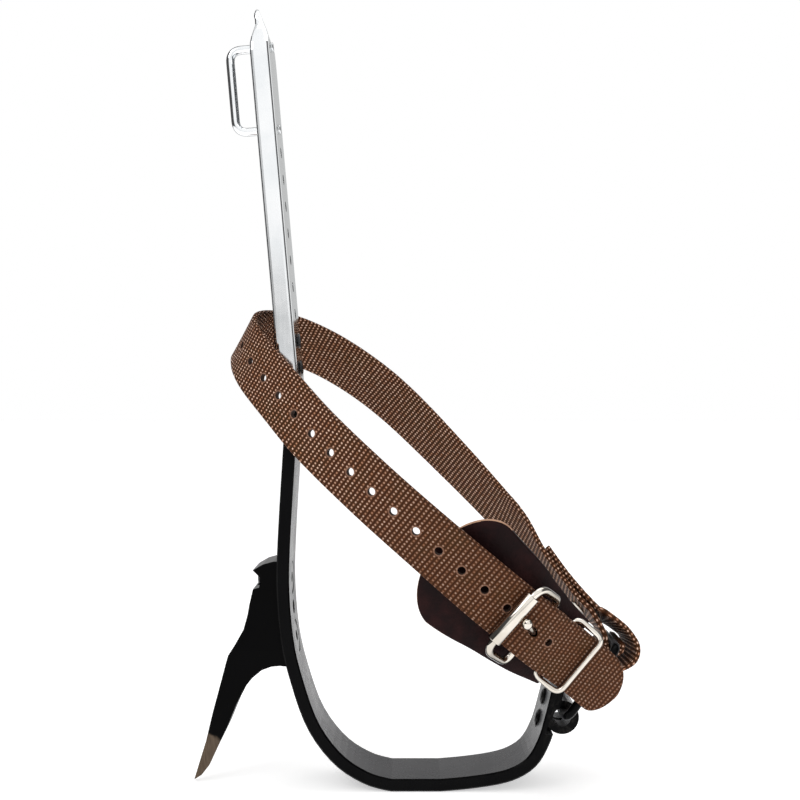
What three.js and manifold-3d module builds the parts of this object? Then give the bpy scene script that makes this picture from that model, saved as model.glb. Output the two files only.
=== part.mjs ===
// Tree climbing spur: one adjustable steel climber with a replaceable gaff, a
// sliding leg iron and an ankle strap that hangs on a ring at the stirrup.
// Millimetres, +Z up, +X towards the inner side of the foot's arch, Y across the tread.
// The origin is the middle of the flat tread that the boot stands on.
import * as THREE from "three";
import { mergeVertices } from "three/addons/utils/BufferGeometryUtils.js";
import Module from "manifold-3d";

const wasm = await Module();
wasm.setup();

// ---------------------------------------------------------------- driving sizes
const GAP = 0.3; // air left between two touching pieces
const BAR_WIDTH = 32;
const BAR_THICKNESS = 6.2;

// The leg iron leans away from the leg. Its own frame has z along the iron from
// its lower end, x towards the leg with 0 on the web's outer face, y across.
const IRON_LEAN = 5.05; // degrees
const IRON_FOOT = [-56.8, 187.5]; // X and Z of the web's outer face at the lower end
const IRON_LENGTH = 194.5;
const IRON_WIDTH = 35.3;
const IRON_DEPTH = 9.5;
const IRON_SHEET = 1.4;
const IRON_LIP = 6;
const IRON_TRAVEL = 101.6;
const HOLE_COUNT = 9;
const HOLE_PITCH = 13.55;
const FIRST_HOLE = 72.2; // below the top of the iron
const CLAMP_DIAMETER = 4.4;

const LOOP_WIRE = 4.3;
const LOOP_HEIGHT = 41.4; // between the centres of the two legs
const LOOP_TOP = 19; // upper leg, below the top of the iron
const LOOP_REACH = 11.9; // from the iron's open side to the middle of the wire

const SCREW_LEVELS = [96.1, 66.9]; // Z of the two gaff screws
const DOWEL_LEVEL = 81.3;

const EYE = [71.9, 29.1]; // X and Z of the middle of the hook plate's eye
const EYE_BORE = 4.4; // radius
const PLATE_THICKNESS = 3.9;
const PLATE_WIDTH = 24;
const ARM_TOP = 45;
const ARM_STEP = 22; // the arm is forged thin above this level
const ARM_THIN = 2.6;

const RING_WIRE = 4.4;
const RING_HINGE = [73.0, 30.6]; // X and Z of the ring's lower bar
const RING_LENGTH = 42; // between the middles of its two bars
const RING_WIDTH = 40;
const RING_LEAN = 54.5; // degrees above level

const STRAP_WIDTH = 28.6;
const STRAP_THICKNESS = 2.6;
const CHAPE_THICKNESS = 2.4;
const STRAP_HOLES = 17;
const STRAP_PITCH = 13.4;
const STRAP_HOLE = 3.8;
const ROLLER_PLACE = 191.5; // along the strap from the first hole
const HEEL_REACH = 17.2; // from the roller to the heel bar, along the strap

const ROLLER_RADIUS = 3.3;
const FRAME_WIRE = 3.6;
const FRAME_WIDTH = 41.6;
const KEEPER_WIRE = 2.8;

// ---------------------------------------------------------------- materials
const finish = (color, roughness, metalness) =>
  new THREE.MeshStandardMaterial({ color, roughness, metalness });
const blackSteel = finish(0x1b1b1d, 0.42, 0.6);
const zincSteel = finish(0xb9bec1, 0.28, 1);
const nickel = finish(0xd2ccc2, 0.18, 1);
const webbing = finish(0x5a392b, 0.75, 0);
const leather = finish(0x221316, 0.6, 0);

// ---------------------------------------------------------------- solids
const v3 = (x, y, z) => new THREE.Vector3(x, y, z);
const radians = THREE.MathUtils.degToRad;

function bareGeometry(geometry) {
  const bare = geometry.clone();
  bare.deleteAttribute("normal");
  bare.deleteAttribute("uv");
  return mergeVertices(bare, 1e-4);
}

function solidOf(geometry, matrix = new THREE.Matrix4()) {
  const bare = bareGeometry(geometry).applyMatrix4(matrix);
  const solid = new wasm.Manifold(
    new wasm.Mesh({
      numProp: 3,
      vertProperties: new Float32Array(bare.attributes.position.array),
      triVerts: new Uint32Array(bare.index.array),
    }),
  );
  return solid;
}

function geometryOf(solid) {
  const mesh = solid.getMesh();
  const geometry = new THREE.BufferGeometry();
  geometry.setAttribute("position", new THREE.BufferAttribute(mesh.vertProperties, 3));
  geometry.setIndex(new THREE.BufferAttribute(mesh.triVerts, 1));
  geometry.computeVertexNormals();
  return geometry;
}

// Joins a list of equal rings of points into one closed skin. A closed sweep joins
// its last ring to its first, an open one is capped at both ends.
function skin(rings, closed = false) {
  const size = rings[0].length;
  const points = rings.flat();
  const faces = [];
  const spans = closed ? rings.length : rings.length - 1;
  for (let i = 0; i < spans; i++) {
    const here = i * size;
    const next = ((i + 1) % rings.length) * size;
    for (let j = 0; j < size; j++) {
      const k = (j + 1) % size;
      faces.push([here + j, here + k, next + k], [here + j, next + k, next + j]);
    }
  }
  if (!closed) {
    const last = (rings.length - 1) * size;
    for (let j = 1; j < size - 1; j++) {
      faces.push([0, j + 1, j], [last, last + j, last + j + 1]);
    }
  }
  let volume = 0;
  for (const [a, b, c] of faces) {
    volume += points[a].dot(v3().crossVectors(points[b], points[c]));
  }
  const index = faces.flatMap(([a, b, c]) => (volume < 0 ? [a, c, b] : [a, b, c]));
  const geometry = new THREE.BufferGeometry().setFromPoints(points);
  geometry.setIndex(index);
  return geometry;
}

// A frame matrix from an origin and three axes.
function placed(origin, x, y, z) {
  return new THREE.Matrix4().makeBasis(x, y, z).setPosition(origin);
}

// A cylinder or cone along its own z, from z = 0 to z = length.
function rod(radius, length, sides = 20, topRadius = radius) {
  const geometry = new THREE.CylinderGeometry(topRadius, radius, length, sides);
  geometry.rotateX(Math.PI / 2);
  geometry.translate(0, 0, length / 2);
  return geometry;
}

// A solid turned about its own z from [radius, z] pairs that start and end on the axis.
function turned(profile, sides = 20) {
  const points = profile.map(([r, z]) => new THREE.Vector2(r, z));
  const geometry = new THREE.LatheGeometry(points, sides);
  geometry.rotateX(Math.PI / 2);
  return geometry;
}

// A box given by its lowest and highest corners.
function block(low, high) {
  const geometry = new THREE.BoxGeometry(high[0] - low[0], high[1] - low[1], high[2] - low[2]);
  geometry.translate((low[0] + high[0]) / 2, (low[1] + high[1]) / 2, (low[2] + high[2]) / 2);
  return geometry;
}

// A flat outline in X and Z, given a thickness along Y about Y = 0.
function plateXZ(points, width, bevel = 0) {
  const shape = new THREE.Shape(points.map(([x, z]) => new THREE.Vector2(x, z)));
  const geometry = new THREE.ExtrudeGeometry(shape, {
    depth: width - 2 * bevel,
    bevelEnabled: bevel > 0,
    bevelThickness: bevel,
    bevelSize: bevel,
    bevelOffset: -bevel,
    bevelSegments: 1,
    steps: 1,
  });
  geometry.translate(0, 0, -width / 2 + bevel);
  geometry.rotateX(Math.PI / 2);
  return geometry;
}

// Round wire along a list of points whose corners are rounded, each by its own reach.
function wire(points, diameter, corners, closed, sides = 10) {
  const path = new THREE.CurvePath();
  const count = points.length;
  const trimmed = points.map((point, i) => {
    if (!closed && (i === 0 || i === count - 1)) return [point, point];
    const before = points[(i + count - 1) % count].clone().sub(point).normalize();
    const after = points[(i + 1) % count].clone().sub(point).normalize();
    return [before, after].map((way) => point.clone().addScaledVector(way, corners[i]));
  });
  const rings = [];
  const centres = [];
  const CORNER_STEPS = 5;
  for (let i = 0; i < count; i++) {
    const [enter, leave] = trimmed[i];
    if (enter === leave) {
      centres.push(points[i]);
      continue;
    }
    const bend = new THREE.QuadraticBezierCurve3(enter, points[i], leave);
    centres.push(...bend.getPoints(CORNER_STEPS));
  }
  for (let i = 0; i < centres.length; i++) {
    const before = centres[closed ? (i + centres.length - 1) % centres.length : Math.max(i - 1, 0)];
    const after = centres[closed ? (i + 1) % centres.length : Math.min(i + 1, centres.length - 1)];
    const along = after.clone().sub(before).normalize();
    const flat = v3().crossVectors(
      points[1].clone().sub(points[0]),
      points[2].clone().sub(points[1]),
    ).normalize();
    const side = v3().crossVectors(flat, along);
    const ring = [];
    for (let j = 0; j < sides; j++) {
      const angle = (j / sides) * 2 * Math.PI;
      ring.push(
        centres[i].clone()
          .addScaledVector(flat, (Math.cos(angle) * diameter) / 2)
          .addScaledVector(side, (Math.sin(angle) * diameter) / 2),
      );
    }
    rings.push(ring);
  }
  return skin(rings, closed);
}

const spur = new THREE.Group();

function addPiece(name, geometry, material, matrix) {
  const mesh = new THREE.Mesh(geometry, material);
  mesh.name = name;
  if (matrix) mesh.applyMatrix4(matrix);
  spur.add(mesh);
  return mesh;
}

// ---------------------------------------------------------------- leg iron frame
const lean = radians(IRON_LEAN);
const ironFrame = placed(
  v3(IRON_FOOT[0], 0, IRON_FOOT[1]),
  v3(Math.cos(lean), 0, Math.sin(lean)),
  v3(0, 1, 0),
  v3(-Math.sin(lean), 0, Math.cos(lean)),
);
const inIron = (x, z) => v3(x, 0, z).applyMatrix4(ironFrame);

// ---------------------------------------------------------------- stirrup and shank
// The line of the bar's inner face, from the top of the shank round to the end of
// the short arm. Its two smooth stretches meet at the flat tread.
const SHANK_FACE = -IRON_SHEET - 0.25; // in the leg iron's frame
const SHANK_TOP = 138; // above the foot of the leg iron
const shankTop = inIron(SHANK_FACE, SHANK_TOP);
const shankBend = inIron(SHANK_FACE, -9);
const TREAD_HALF = 12;
const outerSweep = new THREE.SplineCurve(
  [
    [shankBend.x, shankBend.z], [-59.1, 156.4], [-61.4, 117], [-61.9, 93], [-59.8, 68],
    [-55.3, 48.7], [-47.6, 27.4], [-36, 11.8], [-23, 3.2], [-TREAD_HALF, 0],
  ].map(([x, z]) => new THREE.Vector2(x, z)),
);
const innerSweep = new THREE.SplineCurve(
  [
    [TREAD_HALF, 0], [25.2, 1.2], [39.7, 3.4], [48.6, 6.4], [55, 11.2],
    [59.6, 19.5], [62.5, 28.5], [66.7, ARM_TOP],
  ].map(([x, z]) => new THREE.Vector2(x, z)),
);
const innerLine = [
  new THREE.Vector2(shankTop.x, shankTop.z),
  ...outerSweep.getPoints(34),
  ...innerSweep.getPoints(22),
];

// The line moved outwards, away from the foot, by a thickness.
function offsetLine(line, distance) {
  return line.map((point, i) => {
    const before = line[Math.max(i - 1, 0)];
    const after = line[Math.min(i + 1, line.length - 1)];
    const along = after.clone().sub(before).normalize();
    return new THREE.Vector2(point.x + along.y * distance, point.y - along.x * distance);
  });
}

const pairs = (points) => points.map((p) => [p.x, p.y]);
const barOutline = pairs([...innerLine, ...offsetLine(innerLine, BAR_THICKNESS).reverse()]);
let stirrup = solidOf(plateXZ(barOutline, BAR_WIDTH, 0.7));

// Where the inner face stands at a level of the shank, with the way out of the bar.
function shankAt(level) {
  const i = innerLine.findIndex((p, k) => k > 0 && p.y <= level);
  const [upper, lower] = [innerLine[i - 1], innerLine[i]];
  const t = (upper.y - level) / (upper.y - lower.y);
  const along = lower.clone().sub(upper).normalize();
  const out = v3(along.y, 0, -along.x);
  return { point: v3(upper.x + (lower.x - upper.x) * t, 0, level), out };
}

// A frame on the shank's inner face whose z points out through the bar.
function throughShank(level) {
  const { point, out } = shankAt(level);
  return placed(point, v3().crossVectors(v3(0, 1, 0), out), v3(0, 1, 0), out);
}

// The long slot that the clamp screws ride in, open at the shank's top end.
const SLOT_WIDTH = 6.6;
const SLOT_FOOT = 10; // above the foot of the leg iron
stirrup = stirrup.subtract(
  solidOf(block([-12, -SLOT_WIDTH / 2, SLOT_FOOT], [4, SLOT_WIDTH / 2, 160]), ironFrame),
);

// ---------------------------------------------------------------- hook plate
// The short arm is thinned on its outer side, and the hook plate lies in the recess.
const armLine = innerLine.filter((p, i) => i > 35 && p.y > ARM_STEP - 8);
const recess = pairs([
  ...offsetLine(armLine, ARM_THIN).filter((p) => p.y > ARM_STEP - 1.5),
  new THREE.Vector2(90, ARM_TOP + 8),
  new THREE.Vector2(90, ARM_STEP - 1.5),
]);
stirrup = stirrup.subtract(solidOf(plateXZ(recess, BAR_WIDTH + 4)));

const plateFace = offsetLine(armLine, ARM_THIN + GAP).filter((p) => p.y > ARM_STEP + 0.5);
const plateBack = offsetLine(armLine, ARM_THIN + GAP + PLATE_THICKNESS).filter(
  (p) => p.y > ARM_STEP + 6 && p.y < ARM_TOP + 1,
);
const EYE_OUTER = EYE_BORE + PLATE_THICKNESS;
const EYE_START = 200; // degrees round the eye, from +X towards +Z
const EYE_END = 480;
function eyeArc(radius, from, to, steps) {
  const arc = [];
  for (let i = 0; i <= steps; i++) {
    const angle = radians(from + ((to - from) * i) / steps);
    arc.push([EYE[0] + radius * Math.cos(angle), EYE[1] + radius * Math.sin(angle)]);
  }
  return arc;
}
const eyeBand = [
  ...eyeArc(EYE_OUTER, EYE_START, EYE_END, 22),
  ...eyeArc(EYE_BORE, EYE_END, EYE_START, 22),
];
const plateStrip = pairs([...plateFace, ...plateBack.reverse()]);
const armSpace = pairs([
  ...offsetLine(armLine, -20),
  ...offsetLine(armLine, ARM_THIN + GAP).reverse(),
]);
const hingeAxis = v3(RING_HINGE[0], 0, RING_HINGE[1]);
const eyeBore = placed(
  v3(EYE[0], -30, EYE[1]), v3(1, 0, 0), v3(0, 0, -1), v3(0, 1, 0),
);
let hookPlate = solidOf(plateXZ(eyeBand, PLATE_WIDTH))
  .add(solidOf(plateXZ(plateStrip, PLATE_WIDTH)))
  .subtract(solidOf(rod(EYE_BORE, 60, 28), eyeBore))
  .subtract(solidOf(plateXZ(armSpace, 60)))
  .subtract(solidOf(block([40, -20, 0], [66.4, 20, ARM_STEP - 1.2])));

// Two rivets hold the plate: a low dome inside the arm, a countersunk tail outside.
const RIVET_LEVELS = [36.3, 25.6];
const RIVET_NAMES = ["hook_plate_rivet_upper", "hook_plate_rivet_lower"];
const RIVET_RADIUS = 2.5;
function armAt(level) {
  const i = innerLine.findIndex((p, k) => k > 36 && p.y >= level);
  const [lower, upper] = [innerLine[i - 1], innerLine[i]];
  const t = (level - lower.y) / (upper.y - lower.y);
  const along = upper.clone().sub(lower).normalize();
  const out = v3(along.y, 0, -along.x);
  const point = v3(lower.x + (upper.x - lower.x) * t, 0, level);
  return placed(point, v3().crossVectors(v3(0, 1, 0), out), v3(0, 1, 0), out);
}
const rivetGrip = ARM_THIN + GAP + PLATE_THICKNESS;
RIVET_LEVELS.forEach((level, i) => {
  const frame = armAt(level);
  const bore = solidOf(rod(RIVET_RADIUS + GAP, 12, 20), frame);
  const sink = solidOf(
    turned([[0, rivetGrip - 1.6], [RIVET_RADIUS + GAP, rivetGrip - 1.6], [4.4, rivetGrip + 0.4], [0, rivetGrip + 0.4]]),
    frame,
  );
  stirrup = stirrup.subtract(
    solidOf(
      turned([[0, -2], [4.8, -2], [4.8, 0.1], [RIVET_RADIUS + GAP, 0.1], [RIVET_RADIUS + GAP, 8], [0, 8]]),
      frame,
    ),
  );
  stirrup = stirrup.subtract(sink);
  hookPlate = hookPlate.subtract(bore).subtract(sink);
  const rivet = turned([
    [0, -2.1], [2.2, -1.8], [3.8, -1.1], [4.4, -GAP], [RIVET_RADIUS, -GAP],
    [RIVET_RADIUS, rivetGrip - 1.5], [3.6, rivetGrip - 0.3], [0, rivetGrip - 0.3],
  ]);
  addPiece(RIVET_NAMES[i], rivet, blackSteel, frame);
});
addPiece("hook_plate", geometryOf(hookPlate), blackSteel);

// ---------------------------------------------------------------- gaff
// The forged spike: a long back that lies on the shank, an open notch round the end
// of the upper screw, and a point that runs down and outwards.
const gaffOutline = [
  [-62, 106], [-70.1, 105.7], [-75.2, 104.3], [-80.2, 101.4], [-78.3, 99.5], [-76.6, 97.9],
  [-76.2, 95.4], [-77.2, 92.9], [-80.1, 92.1], [-81.9, 84.3], [-82.7, 79.6], [-84.7, 72.3],
  [-88.8, 65], [-92.4, 59.4], [-93.6, 55.4], [-96.8, 44.1], [-100.8, 29.7], [-104.4, 15.3],
  [-111.1, -5.4], [-107.2, -2.8], [-103.2, 2.4], [-99, 11.6], [-93.6, 22.5], [-88.7, 34.5],
  [-83.9, 43.8], [-80.7, 47.8], [-76, 51.8], [-71.2, 53.6], [-67, 54], [-58, 53],
];
// Seen from the side the gaff narrows from the full back to the point.
const gaffSide = [
  [-12.5, 110], [12.5, 110], [12.5, 62], [9, 46], [6.5, 24], [3.6, 6], [0.7, -6],
  [-0.7, -6], [-3.6, 6], [-6.5, 24], [-9, 46], [-12.5, 62],
];
const sideShape = new THREE.Shape(gaffSide.map(([y, z]) => new THREE.Vector2(y, z)));
const sideSolid = new THREE.ExtrudeGeometry(sideShape, { depth: 80, bevelEnabled: false });
const sideFrame = placed(v3(-130, 0, 0), v3(0, 1, 0), v3(0, 0, 1), v3(1, 0, 0));
const shankSpace = pairs([
  ...offsetLine(innerLine, -12),
  ...offsetLine(innerLine, BAR_THICKNESS + GAP).reverse(),
]);
let gaff = solidOf(plateXZ(gaffOutline, 30))
  .intersect(solidOf(sideSolid, sideFrame))
  .subtract(solidOf(plateXZ(shankSpace, 60)));

// Each gaff screw is a countersunk socket screw put in from the inner face.
const SCREW_RADIUS = 4;
const SCREW_HEAD = 7.8;
const SCREW_SINK = 4.2;
const HEX_SOCKET = 5 / Math.sqrt(3); // corner radius of a 5 mm hexagon
const SCREW_LENGTHS = [16.8, 15];
const SCREW_NAMES = ["gaff_screw_upper", "gaff_screw_lower"];
SCREW_LEVELS.forEach((level, i) => {
  const frame = throughShank(level);
  const length = SCREW_LENGTHS[i];
  const open = GAP + 0.05;
  const room = turned([
    [0, -2], [SCREW_HEAD + open, -2], [SCREW_HEAD + open, 0.4],
    [SCREW_RADIUS + open, SCREW_SINK + 0.1], [SCREW_RADIUS + open, length + 0.6], [0, length + 0.6],
  ], 24);
  stirrup = stirrup.subtract(solidOf(room, frame));
  gaff = gaff.subtract(solidOf(room, frame));
  const body = turned([
    [0, 0.1], [SCREW_HEAD, 0.1], [SCREW_HEAD, 0.5], [SCREW_RADIUS, SCREW_SINK],
    [SCREW_RADIUS, length - 0.8], [SCREW_RADIUS - 0.8, length], [0, length],
  ], 24);
  const socket = rod(HEX_SOCKET, 3, 6);
  socket.translate(0, 0, -0.4);
  const screw = solidOf(body).subtract(solidOf(socket));
  addPiece(SCREW_NAMES[i], geometryOf(screw), blackSteel, frame);
});

const DOWEL_RADIUS = 3.2;
const DOWEL_LENGTH = 13;
const dowelFrame = throughShank(DOWEL_LEVEL);
const dowelRoom = solidOf(
  turned([[0, -2], [DOWEL_RADIUS + GAP, -2], [DOWEL_RADIUS + GAP, DOWEL_LENGTH + 0.4], [0, DOWEL_LENGTH + 0.4]]),
  dowelFrame,
);
stirrup = stirrup.subtract(dowelRoom);
gaff = gaff.subtract(dowelRoom);
addPiece(
  "gaff_dowel_pin",
  turned([
    [0, 1], [DOWEL_RADIUS - 0.5, 1], [DOWEL_RADIUS, 1.5],
    [DOWEL_RADIUS, DOWEL_LENGTH], [0, DOWEL_LENGTH],
  ]),
  blackSteel,
  dowelFrame,
);
addPiece("stirrup_shank", geometryOf(stirrup), blackSteel);
addPiece("gaff", geometryOf(gaff), blackSteel);

// ---------------------------------------------------------------- leg iron
// A lipped channel. Near the top the lips end, and the plain channel narrows and
// grows shallow up to its rounded end.
const TAPER_START = IRON_LENGTH - 25;
const LIPS_END = IRON_LENGTH - 17.5;
const ROUND_START = IRON_LENGTH - 7;
const ROUND_HALF = 8.4;
const CHANNEL_CORNER = 1.8;

// One cross-section of a box whose two web-side corners and two lip-side corners
// are rounded, at a height z.
function channelSection(half, back, front, corner, z) {
  const ring = [];
  const middles = [
    [front - corner, half - corner, 0], [back + corner, half - corner, 90],
    [back + corner, -half + corner, 180], [front - corner, -half + corner, 270],
  ];
  for (const [x, y, from] of middles) {
    for (const turn of [0, 30, 60, 90]) {
      const angle = radians(from + turn);
      ring.push(v3(x + corner * Math.cos(angle), y + corner * Math.sin(angle), z));
    }
  }
  return ring;
}

// The last stretch of the web bends away from the calf.
const BEND_START = IRON_LENGTH - 16.3;
const webFace = (z) => -0.3 * Math.max(z - BEND_START, 0);
const ironSections = [
  [0, IRON_WIDTH / 2, IRON_DEPTH], [TAPER_START, IRON_WIDTH / 2, IRON_DEPTH],
  [TAPER_START + 4, 17, 9.2], [LIPS_END, 15.2, 8.5], [IRON_LENGTH - 13.5, 12.8, 6.5],
  [IRON_LENGTH - 10, 10.2, 4.7], [ROUND_START, ROUND_HALF, 3.9],
];
const ROUND_STEPS = 6;
for (let i = 1; i <= ROUND_STEPS; i++) {
  const angle = (i / ROUND_STEPS) * (Math.PI / 2);
  ironSections.push([
    ROUND_START + (IRON_LENGTH - ROUND_START) * Math.sin(angle),
    Math.max(ROUND_HALF * Math.cos(angle), 1.2),
    1.35 + 2.55 * Math.cos(angle) ** 3,
  ]);
}
const outerRings = ironSections.map(([z, half, depth]) => {
  const corner = Math.min(CHANNEL_CORNER, depth / 2 - 0.05, half / 2);
  return channelSection(half, webFace(z) - depth, webFace(z), corner, z);
});
// The hollow of the plain channel runs out through its open side.
const hollow = (half, back, z) =>
  channelSection(half - IRON_SHEET, back, webFace(z) - IRON_SHEET, 0.6, z);
const closedHollow = [[-2, IRON_WIDTH / 2, IRON_DEPTH], ...ironSections.slice(1, 4)].map(
  ([z, half, depth]) => hollow(half, IRON_SHEET - depth, z),
);
const openHollow = ironSections
  .filter(([z, half]) => z >= LIPS_END && half > 3.2)
  .map(([z, half]) => hollow(half, -20, z));
const openHalf = IRON_WIDTH / 2 - IRON_SHEET - IRON_LIP;
let legIron = solidOf(skin(outerRings))
  .subtract(solidOf(skin(closedHollow)))
  .subtract(solidOf(skin(openHollow)))
  .subtract(solidOf(block([-20, -openHalf, -5], [-IRON_SHEET, openHalf, LIPS_END + 0.1])));

const acrossWeb = (z) => placed(v3(0.5, 0, z), v3(0, 1, 0), v3(0, 0, 1), v3(1, 0, 0));
function webHole(z, radius) {
  const hole = rod(radius, 4, 16);
  hole.translate(0, 0, -2.6);
  return solidOf(hole, acrossWeb(z));
}
for (let i = 0; i < HOLE_COUNT; i++) {
  legIron = legIron.subtract(webHole(IRON_LENGTH - FIRST_HOLE - i * HOLE_PITCH, 2.6));
}

// The calf-strap loop: bent wire whose two legs pass the open side of the channel
// and are headed over on the web.
const upperLeg = IRON_LENGTH - LOOP_TOP;
const lowerLeg = upperLeg - LOOP_HEIGHT;
const LEG_END = -IRON_SHEET - GAP;
const barLine = -IRON_DEPTH - LOOP_REACH;
const loopWire = wire(
  [v3(LEG_END, 0, lowerLeg), v3(barLine, 0, lowerLeg), v3(barLine, 0, upperLeg), v3(LEG_END, 0, upperLeg)],
  LOOP_WIRE, [0, 5, 5, 0], false, 12,
);
let loop = solidOf(loopWire);
for (const z of [lowerLeg, upperLeg]) {
  legIron = legIron.subtract(webHole(z, 1.8));
  const stem = turned([[0, 0], [1.5, 0], [1.5, 2.3], [2.4, 2.3], [2, 2.8], [0, 2.9]], 16);
  const along = placed(v3(LEG_END - 0.3, 0, z), v3(0, 1, 0), v3(0, 0, 1), v3(1, 0, 0));
  loop = loop.add(solidOf(stem, along));
}
addPiece("leg_iron", geometryOf(legIron), zincSteel, ironFrame);
addPiece("calf_strap_loop", geometryOf(loop), zincSteel, ironFrame);

// Two clamp screws through the web and the shank's slot, into a plate with two
// tapped holes that bears on the shank between the channel's lips.
const NUT_FACE = SHANK_FACE - BAR_THICKNESS - GAP;
const NUT_THICKNESS = 2.6;
const NUT_HALF = 8.6;
const clampLevels = [HOLE_COUNT - 2, HOLE_COUNT - 1].map(
  (i) => IRON_LENGTH - FIRST_HOLE - i * HOLE_PITCH,
);
const CLAMP_NAMES = ["clamp_screw_upper", "clamp_screw_lower"];
let nutPlate = solidOf(
  block(
    [NUT_FACE - NUT_THICKNESS, -NUT_HALF, clampLevels[1] - 7],
    [NUT_FACE, NUT_HALF, clampLevels[0] + 7],
  ),
);
clampLevels.forEach((z, i) => {
  const radius = CLAMP_DIAMETER / 2;
  const length = -NUT_FACE + NUT_THICKNESS + 0.6;
  const towardsNut = placed(v3(0, 0, z), v3(0, 1, 0), v3(0, 0, -1), v3(-1, 0, 0));
  const screw = solidOf(
    turned([
      [0, -1.5], [2.6, -1.45], [3.5, -1.1], [3.8, -GAP], [radius, -GAP],
      [radius, length], [0, length],
    ]),
  ).subtract(solidOf(rod(1.5, 2, 6).translate(0, 0, -1.6)));
  nutPlate = nutPlate.subtract(solidOf(rod(radius + GAP, 20, 16), towardsNut));
  addPiece(CLAMP_NAMES[i], geometryOf(screw), zincSteel, ironFrame.clone().multiply(towardsNut));
});
addPiece("clamp_nut_plate", geometryOf(nutPlate), blackSteel, ironFrame);

// ---------------------------------------------------------------- strap ring
const ringWay = v3(Math.cos(radians(RING_LEAN)), 0, Math.sin(radians(RING_LEAN)));
const farBar = hingeAxis.clone().addScaledVector(ringWay, RING_LENGTH);
const ringCorner = (base, side) => base.clone().add(v3(0, (side * RING_WIDTH) / 2, 0));
addPiece(
  "strap_ring",
  wire(
    [ringCorner(hingeAxis, -1), ringCorner(farBar, -1), ringCorner(farBar, 1), ringCorner(hingeAxis, 1)],
    RING_WIRE, [6, 6, 6, 6], true, 12,
  ),
  blackSteel,
);

// ---------------------------------------------------------------- webbing
// A strap's route is a list of places on its middle line, each with the direction
// of its upper edge.
class Route {
  constructor(stations) {
    this.line = new THREE.CatmullRomCurve3(stations.map((s) => v3(...s.slice(0, 3))));
    this.line.arcLengthDivisions = 1200;
    this.edges = new THREE.CatmullRomCurve3(
      stations.map((s) => v3(...s.slice(3)).normalize()), false, "catmullrom", 0.5,
    );
    this.length = this.line.getLength();
  }
  // The strap's own frame at a distance along it: along, across and outwards.
  at(distance) {
    const u = THREE.MathUtils.clamp(distance / this.length, 0, 1);
    const t = this.line.getUtoTmapping(u);
    const along = this.line.getTangent(t);
    const across = this.edges.getPoint(t);
    across.addScaledVector(along, -across.dot(along)).normalize();
    const out = v3().crossVectors(along, across);
    return { point: this.line.getPoint(t), along, across, out };
  }
  // The distance along the route of the place nearest to a point.
  nearest(target) {
    let best = 0;
    let least = Infinity;
    for (let d = 0; d <= this.length; d += 0.25) {
      const gap = this.line.getPointAt(d / this.length).distanceTo(target);
      if (gap < least) {
        least = gap;
        best = d;
      }
    }
    return best;
  }
}

// A flat band along a route. half(d) is its half width, lift(d) how far it lies from
// the route's own middle line and shift(d) how far it lies to the side of it.
function band(route, from, to, step, thickness, half, lift = () => 0, shift = () => 0) {
  const count = Math.ceil((to - from) / step);
  const rings = [];
  for (let i = 0; i <= count; i++) {
    const d = from + ((to - from) * i) / count;
    const { point, across, out } = route.at(d);
    const ring = [[-1, -1], [1, -1], [1, 1], [-1, 1]].map(([side, face]) =>
      point.clone()
        .addScaledVector(across, shift(d) + side * half(d))
        .addScaledVector(out, lift(d) + (face * thickness) / 2),
    );
    rings.push(ring);
  }
  return skin(rings);
}

// The long strap: from its tight hook round the ring's far bar, up behind the leg
// iron, round its outer side and down in front to the free tip.
const hook = (angle, radius) => [
  farBar.x + radius * Math.cos(radians(angle)), 0,
  farBar.z + radius * Math.sin(radians(angle)), 0, -1, 0,
];
const strapRoute = new Route([
  hook(12, 4.15), hook(-40, 4.15), hook(-90, 4.15), hook(-140, 4.15), hook(-180, 4.2),
  [92.6, 0.2, 70, 0, -1, 0],
  [87.6, 2.2, 77, 0.1, -0.98, 0.1],
  [78.3, 7.5, 86.2, 0.15, -0.97, 0.15],
  [63.7, 17, 103.4, 0.24, -0.95, 0.2],
  [52.5, 26, 118.8, 0.38, -0.86, 0.32],
  [43.3, 32.5, 128.8, 0.44, -0.8, 0.38],
  [22.4, 40, 151, 0.5, -0.72, 0.48],
  [-10.1, 45, 183.4, 0.53, -0.61, 0.59],
  [-28.4, 43, 198, 0.46, -0.57, 0.68],
  [-47.6, 40.5, 209.8, 0.4, -0.53, 0.75],
  [-64.2, 35.5, 216.8, 0.38, -0.48, 0.79],
  [-77.6, 25, 219.9, 0.42, -0.48, 0.76],
  [-86, 4, 217.6, 0.46, -0.54, 0.7],
  [-84.9, -6.5, 211.4, 0.48, -0.46, 0.73],
  [-79, -16, 202.7, 0.52, -0.36, 0.76],
  [-64.5, -29.5, 186.8, 0.56, -0.3, 0.77],
  [-48.7, -40.5, 169.8, 0.59, -0.28, 0.75],
  [-20.6, -53.3, 143.9, 0.6, -0.28, 0.75],
  [9.4, -58.3, 117.9, 0.62, -0.24, 0.75],
  [39.5, -57.6, 92.3, 0.61, -0.08, 0.78],
  [59.1, -48.8, 75.2, 0.61, 0, 0.79],
  [75.7, -39, 61.6, 0.62, 0, 0.78],
  [94.4, -29.5, 44.6, 0.62, 0, 0.78],
]);
const firstHole = strapRoute.nearest(v3(-84.8, -5.5, 212.2));
const rollerPlace = firstHole + ROLLER_PLACE;
const heelPlace = rollerPlace + HEEL_REACH;
const holePlace = (i) => firstHole + i * STRAP_PITCH;
const bump = (d, middle, spread) => Math.exp(-(((d - middle) / spread) ** 2));
// The strap dips under the roller and rises over the heel bar.
const strapLift = (d) => -1.3 * bump(d, rollerPlace, 7) + 1.3 * bump(d, heelPlace + 1, 8);
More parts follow.
